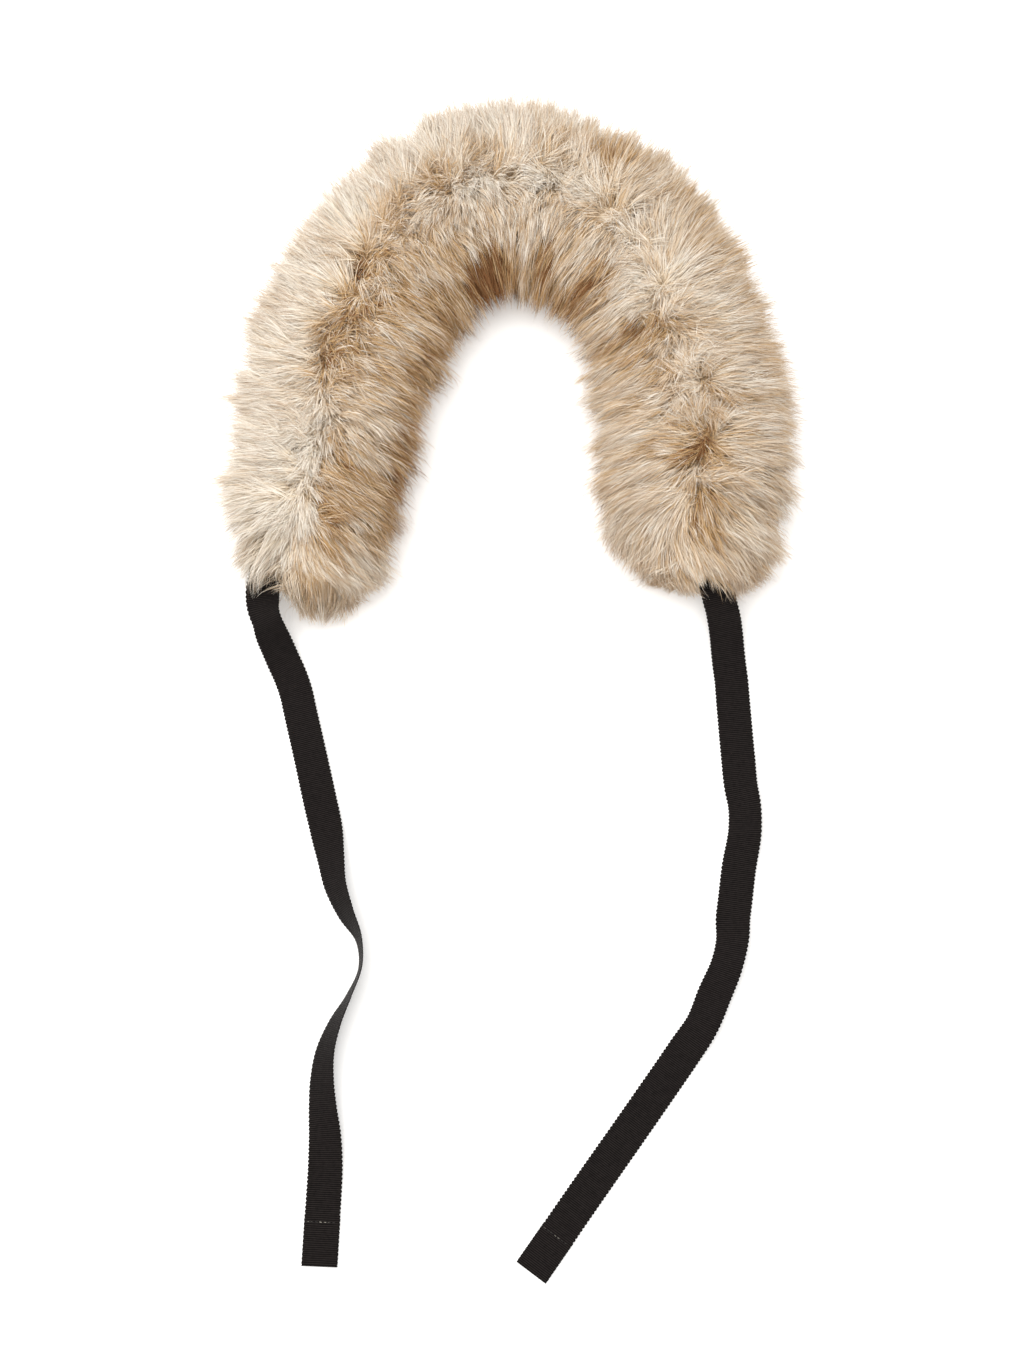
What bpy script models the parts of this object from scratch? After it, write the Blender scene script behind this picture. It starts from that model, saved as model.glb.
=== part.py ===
"""Fur collar wrap, laid flat: a crescent of long-pile fur made of an upper and an under panel,
with a grosgrain ribbon caught in the seam at each end.

Metres, +Z up. +Y points to the back of the neck and the ribbons run towards -Y. The origin is the
middle of the footprint, on the surface that the wrap lies on. Tables and sizes are in millimetres.
"""

import math
from collections import namedtuple

import bmesh
import bpy
import numpy as np

MM = 0.001

# Driving sizes, in millimetres.
SEAM_HEIGHT = 20.0  # the level where the two panels' backings are sewn together
SEAM_GAP = 0.3  # clearance between pieces that touch
UNDER_TOP = SEAM_HEIGHT - SEAM_GAP / 2  # the under panel's seam face
IN_SEAM = SEAM_HEIGHT + SEAM_GAP / 2  # the upper panel's seam face, and a ribbon's root on the other one
RIBBON_WIDTH = 22.0
RIBBON_WALL = 1.0
HEM_LENGTH = 28.0  # how much of a ribbon's end is turned under
HEM_RISE = 9.0  # the stretch over which a ribbon climbs onto its own hem
STATION_PITCH = 7.5  # spacing of the fur's sections along its outer edge
RIBBON_PITCH = 7.0  # spacing of the ribbon's sections
HEM_FOLD = (45, 90, 135, 180)  # degrees round a hem's fold where it is drawn
RIM_FULLNESS = 2.3  # exponent of the fur's rounded section: 2 is an ellipse, more is squarer
RIM_REACH = 3  # exponent that keeps the rim's swells near the edge: more is nearer
FLOOR_SPREAD = 1.22  # over 1 presses the under panel flat on the floor, across part of its width
FULL_RISE = 30.0  # the upper panel's height from which its tufts have their whole relief
UPPER_ARC_POINTS = 25
SEAM_FACE = (-0.5, 0.0, 0.5)  # where a seam face is drawn between its edges, as shares of half a width
UNDER_SIDE = (1.0, 0.95, 0.85, 0.74)  # where the under panel's side is drawn, in the same shares
SHARP_ANGLE = 40  # degrees between two faces from which their edge is shaded sharp

# Sections across the fur, from the inner edge (at the neck) to the outer edge, out to the tips of
# the pile. crown is the height over the middle. The rows run from the left end round to the right.
Section = namedtuple("Section", "inner_x inner_y outer_x outer_y crown")
FUR_SECTIONS = (
    Section(-76.2, 68.4, -182.6, 74.0, 51.0),
    Section(-68.4, 100.3, -188.0, 114.3, 54.0),
    Section(-60.3, 131.0, -184.5, 155.7, 55.0),
    Section(-53.3, 163.6, -180.0, 197.4, 54.0),
    Section(-42.2, 189.6, -169.0, 243.0, 53.0),
    Section(-33.4, 211.0, -145.6, 289.0, 53.0),
    Section(-21.6, 229.5, -111.5, 331.0, 54.0),
    Section(-10.5, 237.4, -64.6, 366.9, 55.0),
    Section(-0.8, 239.5, -5.6, 383.0, 55.0),
    Section(10.0, 237.2, 54.1, 372.2, 54.0),
    Section(23.0, 230.1, 105.3, 343.0, 54.0),
    Section(33.1, 218.9, 142.0, 297.5, 53.0),
    Section(40.7, 201.8, 166.0, 246.8, 54.0),
    Section(44.5, 174.4, 180.0, 201.6, 55.0),
    Section(46.9, 142.0, 189.0, 158.5, 56.0),
    Section(49.5, 112.2, 185.8, 115.4, 55.0),
    Section(51.3, 80.9, 178.5, 76.2, 52.0),
)
UPPER_LEFT_END = (
    Section(-106.5, 28.5, -136.0, 28.5, 24.0),
    Section(-96.0, 35.0, -148.0, 35.2, 29.5),
    Section(-86.8, 41.0, -162.5, 41.0, 36.0),
    Section(-79.2, 49.0, -174.3, 49.0, 42.0),
    Section(-77.4, 56.5, -179.9, 57.0, 47.0),
)
UPPER_RIGHT_END = (
    Section(56.5, 67.0, 176.3, 65.0, 49.0),
    Section(71.0, 54.0, 171.3, 54.0, 44.0),
    Section(88.1, 42.5, 162.0, 42.5, 36.0),
    Section(109.4, 34.5, 154.5, 34.5, 28.0),
    Section(124.7, 29.0, 145.5, 29.0, 23.5),
)
# The under panel's ends: crown is the height of its top face, and the lobe past the upper panel's
# left end droops to its edge.
UNDER_LEFT_END = (
    Section(-120.0, 17.1, -129.1, 17.1, 9.0),
    Section(-113.3, 20.7, -134.3, 20.7, 13.0),
    Section(-101.9, 28.4, -143.6, 28.4, 17.5),
    Section(-91.4, 37.4, -148.4, 37.4, UNDER_TOP),
    Section(-82.8, 45.1, -165.5, 45.6, UNDER_TOP),
    Section(-77.6, 56.0, -178.9, 56.5, UNDER_TOP),
)
UNDER_RIGHT_END = (
    Section(56.5, 67.0, 176.3, 65.0, UNDER_TOP),
    Section(71.0, 54.0, 171.3, 54.0, UNDER_TOP),
    Section(88.1, 43.5, 162.0, 43.5, UNDER_TOP),
    Section(106.4, 37.0, 154.5, 37.0, 16.0),
    Section(120.7, 33.0, 144.5, 33.0, 11.0),
)
LOBE_PLACE = -1.5  # the under panel's bare lobe lies before this place, counted as in PARTINGS
LOBE_DROOP = 0.3  # how far that lobe falls to its rim, as a share of its height

# Partings and hollows in the upper panel's pile. place counts FUR_SECTIONS from 1, across runs from
# -1 at the inner edge to 1 at the outer one, and the two reaches are in the same measures.
Parting = namedtuple("Parting", "place across reach_along reach_across depth")
PARTINGS = (
    Parting(1.7, 0.22, 0.45, 0.16, 6.0),
    Parting(2.0, -0.20, 1.10, 0.13, 5.0),
    Parting(4.3, 0.13, 0.60, 0.12, 6.5),
    Parting(5.7, 0.12, 0.80, 0.13, 7.5),
    Parting(5.9, -0.70, 0.55, 0.16, 4.0),
    Parting(8.4, 0.30, 1.20, 0.12, 3.5),
    Parting(8.1, -0.78, 0.50, 0.16, 5.5),
    Parting(10.2, -0.70, 0.40, 0.16, 5.0),
    Parting(11.2, 0.08, 1.10, 0.11, 4.5),
    Parting(11.8, -0.72, 0.45, 0.15, 4.0),
    Parting(13.4, -0.45, 0.30, 0.50, 6.0),
    Parting(15.3, -0.05, 0.35, 0.25, 7.0),
    Parting(16.5, -0.05, 0.80, 0.12, 5.5),
)
# The crest that the pile falls away from, to both edges.
Crest = namedtuple("Crest", "place across")
CRESTS = (
    Crest(0.0, 0.15),
    Crest(2.0, 0.30),
    Crest(4.0, 0.05),
    Crest(6.0, 0.12),
    Crest(7.5, 0.32),
    Crest(9.6, 0.31),
    Crest(11.0, 0.13),
    Crest(13.0, -0.04),
    Crest(15.0, 0.04),
    Crest(17.0, -0.10),
)
# Swells: waves along the pile, each with a length and a height in millimetres, a slant (radians of
# phase from the middle to the edge) and a start.
Swell = namedtuple("Swell", "length height slant start")
CROWN_SWELLS = (Swell(61.0, 1.5, 1.7, 0.4), Swell(37.0, 1.0, -2.3, 2.0))
RIM_SWELLS = (Swell(47.0, 1.5, 0.9, 1.1), Swell(29.0, 1.1, -1.2, 0.2))
# Tufts lie over each other like shingles, in rows that step away from the crest.
TUFT_WIDTH = 25.0
TUFT_LENGTH = 27.0
TUFT_RISE = 3.4  # a tuft's lip, above its root
TUFT_SINK = 1.5  # a tuft's root, below the fur's smooth form
TUFT_PARTING = 0.45  # half the dip between two tufts, as a share of their rise
TUFT_SHIFT = 0.58  # how far a row is set off from the one above it, as a share of a tuft's width
LIP_POWER = 5  # exponent of a tuft's fall from its lip to its tip: more is steeper
LIP_PEAK = (1 / (LIP_POWER + 1)) ** (1 / LIP_POWER) * LIP_POWER / (LIP_POWER + 1)

# The ribbons' routes: the middle of the ribbon, its roll (the edge at +X up, in degrees), and the
# height of its lower edge. The first three rows lie in the seam.
Route = namedtuple("Route", "x y roll low")
LEFT_ROUTE = (
    Route(-157.0, 72.0, 0, IN_SEAM),
    Route(-159.0, 56.0, 0, IN_SEAM),
    Route(-161.0, 40.0, 0, IN_SEAM),
    Route(-161.2, 34.5, 0, IN_SEAM),
    Route(-160.2, 28.5, 16, 19.0),
    Route(-157.8, 22.5, 27, 17.0),
    Route(-155.4, 15.3, 16, 13.0),
    Route(-152.1, 8.1, 7, 7.5),
    Route(-148.7, 0.3, 4, 3.0),
    Route(-144.6, -8.5, 4, 0.6),
    Route(-141.0, -18.0, 5, 0.0),
    Route(-136.4, -36.2, 7, 0.0),
    Route(-129.8, -63.0, 7, 0.0),
    Route(-123.4, -90.1, 5, 0.0),
    Route(-118.9, -108.6, 13, 0.0),
    Route(-115.3, -126.8, 33, 0.0),
    Route(-112.0, -144.5, 46, 0.0),
    Route(-105.0, -162.2, 59, 0.0),
    Route(-96.3, -179.0, 76, 0.0),
    Route(-95.0, -196.0, 80, 0.0),
    Route(-101.8, -213.8, 76, 0.0),
    Route(-110.4, -231.0, 64, 0.0),
    Route(-116.0, -247.9, 53, 0.0),
    Route(-117.6, -264.8, 43, 0.0),
    Route(-116.9, -281.5, 33, 0.0),
    Route(-115.4, -298.2, 20, 0.0),
    Route(-115.0, -314.8, 9, 0.0),
    Route(-115.8, -337.0, 2, 0.0),
    Route(-117.4, -374.2, 0, 0.0),
)
RIGHT_ROUTE = (
    Route(124.0, 72.0, 0, IN_SEAM),
    Route(127.5, 56.0, 0, IN_SEAM),
    Route(131.0, 40.0, 0, IN_SEAM),
    Route(132.1, 35.0, 0, 20.0),
    Route(133.9, 28.5, 0, 18.0),
    Route(135.2, 22.5, 9, 14.5),
    Route(136.6, 15.0, 11, 9.5),
    Route(137.8, 7.0, 8, 5.0),
    Route(138.9, -1.5, 5, 2.0),
    Route(140.2, -11.0, 4, 0.3),
    Route(141.1, -26.6, 5, 0.0),
    Route(143.3, -63.3, 9, 0.0),
    Route(144.4, -81.8, 19, 0.0),
    Route(146.3, -95.0, 24, 0.0),
    Route(146.3, -108.7, 21, 0.0),
    Route(141.8, -135.0, 8, 0.0),
    Route(139.4, -152.6, 6, 0.0),
    Route(137.4, -166.0, 12, 0.0),
    Route(136.6, -178.0, 25, 0.0),
    Route(132.9, -193.5, 28, 0.0),
    Route(124.6, -213.0, 17, 0.0),
    Route(116.6, -231.0, 21, 0.0),
    Route(105.3, -247.7, 6, 0.0),
    Route(81.0, -281.5, 2, 0.0),
    Route(44.5, -331.4, 2, 0.0),
    Route(10.95, -377.75, 0, 0.0),
)
# The slot for a ribbon's root: its length past the root, past the route's third row, and its depth
# below the upper panel's seam face, where there is nothing left to cut.
SLOT_END = 3.0
SLOT_PAST_SEAM = 12.0
SLOT_DEPTH = 5.0


def clear_scene():
    for obj in list(bpy.data.objects):
        bpy.data.objects.remove(obj, do_unlink=True)


def principled(name, colour, roughness):
    material = bpy.data.materials.new(name)
    material.use_nodes = True
    shader = material.node_tree.nodes["Principled BSDF"]
    shader.inputs["Base Color"].default_value = (*colour, 1.0)
    shader.inputs["Roughness"].default_value = roughness
    shader.inputs["Metallic"].default_value = 0.0
    return material


def smooth_through(rows, pitch, guide):
    """Rows between the given ones, on one smooth curve, about pitch apart at the guide columns.

    Returns the new rows, and for each the place that it has among the given rows, counted from 0.
    """
    rows = np.array(rows, float)
    steps = np.hypot(*np.diff(rows[:, guide], axis=0).T)
    along = np.concatenate([[0.0], np.cumsum(steps)])
    slopes = np.gradient(rows, along, axis=0)
    made, places = [], []
    for i, step in enumerate(steps):
        count = max(1, round(step / pitch))
        for j in range(count):
            t = j / count
            start = (1 + 2 * t) * (1 - t) ** 2 * rows[i] + t * (1 - t) ** 2 * step * slopes[i]
            end = t * t * (3 - 2 * t) * rows[i + 1] + t * t * (t - 1) * step * slopes[i + 1]
            made.append(start + end)
            places.append(i + t)
    return np.array(made + [rows[-1]]), np.array(places + [len(rows) - 1.0])


def waves(swells, along, across):
    return sum(
        w.height * math.sin(2 * math.pi * along / w.length + w.slant * across + w.start)
        for w in swells
    )


def hollows(place, across):
    return sum(
        p.depth
        * math.exp(
            -(((place - p.place) / p.reach_along) ** 2)
            - ((across - p.across) / p.reach_across) ** 2
        )
        for p in PARTINGS
    )


def shingles(along, from_crest):
    """The tufts' height at a distance from the crest: each swells to a lip that lies on the next."""
    row, share = divmod(from_crest / TUFT_LENGTH, 1.0)
    turn = 2 * math.pi * (along / TUFT_WIDTH + TUFT_SHIFT * row)
    lip = share * (1 - share**LIP_POWER) / LIP_PEAK
    return TUFT_RISE * lip * (1 - TUFT_PARTING + TUFT_PARTING * math.cos(turn)) - TUFT_SINK


def mesh_object(name, rings, material):
    """A closed solid skinned over rings of points in millimetres, each ring closed by a cap at an end."""
    bm = bmesh.new()
    loops = [[bm.verts.new([c * MM for c in point]) for point in ring] for ring in rings]
    count = len(loops[0])
    for ring, following in zip(loops, loops[1:]):
        for i in range(count):
            j = (i + 1) % count
            bm.faces.new((ring[i], ring[j], following[j], following[i]))
    bm.faces.new(loops[0][::-1])
    bm.faces.new(loops[-1])
    bmesh.ops.recalc_face_normals(bm, faces=bm.faces)
    bmesh.ops.triangulate(bm, faces=[f for f in bm.faces if len(f.verts) > 4])
    mesh = bpy.data.meshes.new(name)
    bm.to_mesh(mesh)
    bm.free()
    mesh.materials.append(material)
    mesh.shade_smooth()
    mesh.set_sharp_from_angle(angle=math.radians(SHARP_ANGLE))
    obj = bpy.data.objects.new(name, mesh)
    bpy.context.scene.collection.objects.link(obj)
    return obj


class FurStation:
    """One section across the fur: its two edges with their tufts, and where it lies along the wrap.

    crowding is how near the sections are at the inner edge, as a share of their spacing in the middle.
    """

    def __init__(self, row, place, along, crowding):
        self.row = Section(*row)
        self.inner = np.array([self.row.inner_x, self.row.inner_y])
        self.outer = np.array([self.row.outer_x, self.row.outer_y])
        self.place = place
        self.along = along
        self.crowding = crowding
        self.half = float(np.hypot(*(self.outer - self.inner))) / 2
        self.crest = float(np.interp(place, [c.place for c in CRESTS], [c.across for c in CRESTS]))

    def room(self, across):
        """How much of their height the tufts keep: less where they crowd together on the inside."""
        return 1.0 if across > 0 else 1 + across * (1 - self.crowding)

    def point(self, across, height):
        tip = waves(RIM_SWELLS, self.along, across) * self.room(across) / self.half
        stretch = 1 + tip * abs(across) ** RIM_REACH
        middle = (self.inner + self.outer) / 2
        spot = middle + (self.outer - middle) * across * stretch
        return (float(spot[0]), float(spot[1]), height)

    def relief(self, across):
        """How far the pile's top stands above its smooth form, in millimetres."""
        from_crest = abs(across - self.crest) * self.half
        tufts = shingles(self.along, from_crest) + waves(CROWN_SWELLS, self.along, across)
        return tufts * self.room(across) - hollows(self.place, across)


def fur_stations(left_end, sections, right_end):
    rows, places = smooth_through(left_end + sections + right_end, STATION_PITCH, [2, 3])
    middles = (rows[:, 0:2] + rows[:, 2:4]) / 2
    along = np.concatenate([[0.0], np.cumsum(np.hypot(*np.diff(middles, axis=0).T))])
    # The first full section lies at 0 in both panels, so that their tufts meet at the seam.
    along -= np.interp(len(left_end), places, along)
    inner_steps = np.hypot(*np.gradient(rows[:, 0:2], axis=0).T)
    crowding = np.clip(inner_steps / np.maximum(np.gradient(along), 1e-6), 0.0, 1.0)
    return [
        FurStation(row, place + 1 - len(left_end), float(s), float(c))
        for row, place, s, c in zip(rows, places, along, crowding)
    ]


def round_section(across):
    return max(0.0, 1 - abs(across) ** RIM_FULLNESS) ** 0.5


def upper_ring(station):
    rise = station.row.crown - IN_SEAM
    ring = []
    for i in range(UPPER_ARC_POINTS):
        across = math.cos(math.pi * i / (UPPER_ARC_POINTS - 1))
        dome = round_section(across)
        relief = station.relief(across) * dome * min(1.0, rise / FULL_RISE)
        ring.append(station.point(across, IN_SEAM + rise * dome + relief))
    return ring + [station.point(across, IN_SEAM) for across in SEAM_FACE]


def under_ring(station):
    top = min(station.row.crown, UNDER_TOP)
    droop = top * LOBE_DROOP if station.place < LOBE_PLACE else 0.0
    rim = top - droop
    ring = [station.point(across, top - droop * across * across) for across in (-1.0, *SEAM_FACE)]
    flat = (1 - (1 / FLOOR_SPREAD) ** 2) ** (1 / RIM_FULLNESS)
    side = [(across, rim * (1 - FLOOR_SPREAD * round_section(across))) for across in UNDER_SIDE]
    floor = [(flat, 0.0), (0.0, 0.0), (-flat, 0.0)]
    back = [(-across, height) for across, height in reversed(side[1:])]
    return ring + [station.point(across, height) for across, height in side + floor + back]


def make_fur_panels():
    fur = principled("long_pile_fur", (0.72, 0.60, 0.46), 0.85)
    under_fur = principled("under_pile_fur", (0.62, 0.49, 0.35), 0.85)
    under_sections = tuple(s._replace(crown=UNDER_TOP) for s in FUR_SECTIONS)
    upper_stations = fur_stations(UPPER_LEFT_END, FUR_SECTIONS, UPPER_RIGHT_END)
    under_stations = fur_stations(UNDER_LEFT_END, under_sections, UNDER_RIGHT_END)
    upper_rings = [upper_ring(s) for s in upper_stations]
    under_rings = [under_ring(s) for s in under_stations]
    upper = mesh_object("fur_upper_panel", upper_rings, fur)
    under = mesh_object("fur_under_panel", under_rings, under_fur)
    return upper, under


def ribbon_frames(route):
    """Where a ribbon's middle runs, with its directions across and through, ending in the hem."""
    rows, _ = smooth_through(route, RIBBON_PITCH, [0, 1])
    heading = np.gradient(rows[:, 0:2], axis=0)
    heading /= np.hypot(*heading.T)[:, None]
    to_end = np.concatenate([np.cumsum(np.hypot(*np.diff(rows[::-1, 0:2], axis=0).T))[::-1], [0.0]])
    layer = RIBBON_WALL + SEAM_GAP
    frames = []
    for (x, y, roll, low), (tx, ty), left_to_go in zip(rows, heading, to_end):
        turn = math.radians(roll)
        side = np.array([-ty, tx, 0.0])
        up = np.array([0.0, 0.0, 1.0])
        climb = min(1.0, max(0.0, (HEM_LENGTH + HEM_RISE - left_to_go) / HEM_RISE))
        lift = layer * climb * climb * (3 - 2 * climb)
        height = max(low, 0.0) + lift + RIBBON_WIDTH / 2 * abs(math.sin(turn))
        centre = np.array([x, y, height + RIBBON_WALL / 2 * math.cos(turn)])
        across = side * math.cos(turn) + up * math.sin(turn)
        frames.append((centre, across, up * math.cos(turn) - side * math.sin(turn)))
    return frames + hem_frames(frames[-1], np.array([*heading[-1], 0.0]))


def hem_frames(last, forward):
    """The fold at a ribbon's end and the layer turned back under it."""
    centre, across, up = last
    radius = (RIBBON_WALL + SEAM_GAP) / 2
    frames = []
    for angle in (math.radians(degrees) for degrees in HEM_FOLD):
        drop = radius * (1 - math.cos(angle))
        spot = centre + forward * radius * math.sin(angle) - up * drop
        frames.append((spot, across, up * math.cos(angle) + forward * math.sin(angle)))
    turned = frames[-1][0]
    for share in (0.5, 1.0):
        frames.append((turned - forward * HEM_LENGTH * share, across, -up))
    return frames


def make_ribbon(name, route, material):
    half_width = RIBBON_WIDTH / 2
    half_wall = RIBBON_WALL / 2
    rings = []
    for centre, across, through in ribbon_frames(route):
        corners = ((1, 1), (-1, 1), (-1, -1), (1, -1))
        rings.append([centre + across * half_width * i + through * half_wall * j for i, j in corners])
    return mesh_object(name, rings, material)


def cut_ribbon_slot(panel, name, route):
    """Room for a ribbon's root between the panels, cut from the upper one's seam face."""
    root = np.array([route[0].x, route[0].y])
    leaves = np.array([route[2].x, route[2].y])
    forward = (leaves - root) / np.hypot(*(leaves - root))
    start = root - forward * SLOT_END
    end = leaves + forward * SLOT_PAST_SEAM
    middle = (start + end) / 2
    top = IN_SEAM + RIBBON_WALL + SEAM_GAP
    bottom = IN_SEAM - SLOT_DEPTH
    size = (RIBBON_WIDTH + 2 * SEAM_GAP, float(np.hypot(*(end - start))), top - bottom)
    bm = bmesh.new()
    bmesh.ops.create_cube(bm, size=1.0)
    bmesh.ops.scale(bm, vec=[s * MM for s in size], verts=bm.verts)
    mesh = bpy.data.meshes.new(name)
    bm.to_mesh(mesh)
    bm.free()
    cutter = bpy.data.objects.new(name, mesh)
    bpy.context.scene.collection.objects.link(cutter)
    cutter.location = (middle[0] * MM, middle[1] * MM, (top + bottom) / 2 * MM)
    cutter.rotation_euler.z = math.atan2(forward[1], forward[0]) - math.pi / 2
    cutter.hide_render = True
    cutter.display_type = "WIRE"
    boolean = panel.modifiers.new(name, "BOOLEAN")
    boolean.operation = "DIFFERENCE"
    boolean.object = cutter


def main():
    clear_scene()
    upper, _ = make_fur_panels()
    grosgrain = principled("black_grosgrain", (0.012, 0.011, 0.011), 0.6)
    make_ribbon("ribbon_left", LEFT_ROUTE, grosgrain)
    make_ribbon("ribbon_right", RIGHT_ROUTE, grosgrain)
    cut_ribbon_slot(upper, "slot_left", LEFT_ROUTE)
    cut_ribbon_slot(upper, "slot_right", RIGHT_ROUTE)


main()
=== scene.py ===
"""Fur collar wrap: the looks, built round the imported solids.

Metres, +Z up, in the solids' own frame: +Y points to the back of the neck and the ribbons run towards
-Y. Tables and small sizes are in millimetres, and turn into metres where they are used.
"""

import math
from collections import namedtuple

import bmesh
import bpy
import numpy as np
from bpy.props import FloatProperty, FloatVectorProperty, IntProperty, PointerProperty
from mathutils import Matrix, Vector, noise
from mathutils.bvhtree import BVHTree


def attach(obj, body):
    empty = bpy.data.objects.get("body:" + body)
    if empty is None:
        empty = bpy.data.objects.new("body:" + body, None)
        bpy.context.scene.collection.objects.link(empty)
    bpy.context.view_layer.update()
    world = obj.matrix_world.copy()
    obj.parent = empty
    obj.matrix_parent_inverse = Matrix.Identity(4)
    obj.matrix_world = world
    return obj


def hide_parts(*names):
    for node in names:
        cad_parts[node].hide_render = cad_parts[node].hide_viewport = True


bl_info = {
    "name": "Fur collar wrap",
    "version": (1, 0, 0),
    "blender": (4, 5, 0),
    "location": "3D View > Sidebar > Fur Wrap",
    "description": "Builds a long-pile fur collar wrap with grosgrain ribbon ties",
    "category": "Object",
}

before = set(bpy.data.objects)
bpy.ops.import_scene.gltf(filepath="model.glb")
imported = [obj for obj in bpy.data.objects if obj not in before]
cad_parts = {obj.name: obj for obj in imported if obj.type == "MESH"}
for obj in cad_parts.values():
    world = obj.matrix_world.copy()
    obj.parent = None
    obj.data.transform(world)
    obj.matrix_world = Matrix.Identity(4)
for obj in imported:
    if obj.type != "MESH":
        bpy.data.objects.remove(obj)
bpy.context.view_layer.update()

MM = 0.001
TAU = 2 * math.pi
SEAM_HEIGHT = 20.0  # the level where the two panels' backings are sewn together


def table(columns, *rows):
    """Rows of numbers whose columns have names."""
    row = namedtuple("row", columns)
    return [row(*values) for values in rows]


# Sections across the fur: x and y at the inner edge, at the neck, then x and y at the outer edge. They
# run from the left end round to the right, and a place counts them: 1 is the first past the left end.
LEFT_END = (
    (-120, 17.1, -129.1, 17.1),
    (-113.3, 20.7, -134.3, 20.7),
    (-101.9, 28.4, -143.6, 28.4),
    (-91.4, 37.4, -148.4, 37.4),
    (-82.8, 45.1, -165.5, 45.6),
    (-77.6, 56, -178.9, 56.5),
)
MAIN_SECTIONS = (
    (-76.2, 68.4, -182.6, 74),
    (-68.4, 100.3, -188, 114.3),
    (-60.3, 131, -184.5, 155.7),
    (-53.3, 163.6, -180, 197.4),
    (-42.2, 189.6, -169, 243),
    (-33.4, 211, -145.6, 289),
    (-21.6, 229.5, -111.5, 331),
    (-10.5, 237.4, -64.6, 366.9),
    (-0.8, 239.5, -5.6, 383),
    (10, 237.2, 54.1, 372.2),
    (23, 230.1, 105.3, 343),
    (33.1, 218.9, 142, 297.5),
    (40.7, 201.8, 166, 246.8),
    (44.5, 174.4, 180, 201.6),
    (46.9, 142, 189, 158.5),
    (49.5, 112.2, 185.8, 115.4),
    (51.3, 80.9, 178.5, 76.2),
)
RIGHT_END = (
    (56.5, 67, 176.3, 65),
    (71, 54, 171.3, 54),
    (88.1, 42.5, 162, 42.5),
    (109.4, 34.5, 154.5, 34.5),
    (124.7, 29, 145.5, 29),
)
STATION_PITCH = 4.0  # from one station, where the wrap's form is worked out, to the next
RAYS = 48  # how many ways round each station the solids' reach is felt

# How the pile is combed: place, crest, band, inner slant and outer slant. It falls away to both edges
# from a crest, which lies at a share across the wrap (-1 is the inner edge, 1 the outer) and stands up
# over about band millimetres. The slants say how far it also leans along the wrap at its inner and
# outer side: over 0 is towards the right end.
COMBING = (
    (-5, 0.1, 90, -1, -1),
    (-1.5, 0.1, 80, -1, -1),
    (0.2, 0.1, 50, -1.9, -0.85),
    (1.6, 0.11, 26, -2.2, -0.5),
    (2.6, 0.2, 22, -1.2, -0.1),
    (4, 0.12, 13, -0.6, 0.15),
    (5.4, 0.15, 11, -0.45, 0.25),
    (6.4, 0.2, 16, -0.35, 0.2),
    (7.6, 0.32, 22, -0.2, 0.1),
    (9, 0.31, 26, 0, 0),
    (10.6, 0.2, 26, 0.2, -0.1),
    (12, 0.02, 26, 0.35, -0.2),
    (13.4, -0.02, 24, 0.45, -0.1),
    (14.6, 0.03, 24, 0.5, 0.15),
    (15.5, 0.02, 26, 0.7, 0.45),
    (16.3, -0.05, 40, 0.95, 0.85),
    (18, -0.05, 70, 1, 1),
    (22, -0.05, 90, 1, 1),
)
# Whorls that the pile turns round (swirl) or opens from (radial). The reach is in millimetres.
WHORLS = table(
    "place across reach radial swirl",
    (1.8, 0.13, 30, 1.1, 0.3),
    (3.2, -0.15, 15, 0.7, -0.4),
    (4.6, -0.25, 13, 0.5, 0.5),
    (6.3, 0.2, 17, 0.7, -0.5),
    (7.6, -0.15, 14, 0.4, 0.6),
    (8.9, 0.2, 19, 0.2, 0.9),
    (10.9, 0.1, 19, 0.8, -0.4),
    (12.6, -0.05, 15, 0.6, 0.6),
    (14.3, 0.15, 15, 0.5, -0.5),
    (15.8, 0.02, 20, 0.6, 0),
)
# Where the pile is frizzy: short and uncombed. The reaches are in places and in the measure of across.
FRIZZ = table(
    "place across reach_along reach_across much",
    (5.2, -0.15, 2.2, 0.35, 1),
    (8.8, 0.1, 1.8, 0.35, 0.4),
    (11.6, 0, 1.4, 0.3, 0.3),
    (14.6, 0.05, 0.9, 0.3, 0.6),
)
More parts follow.
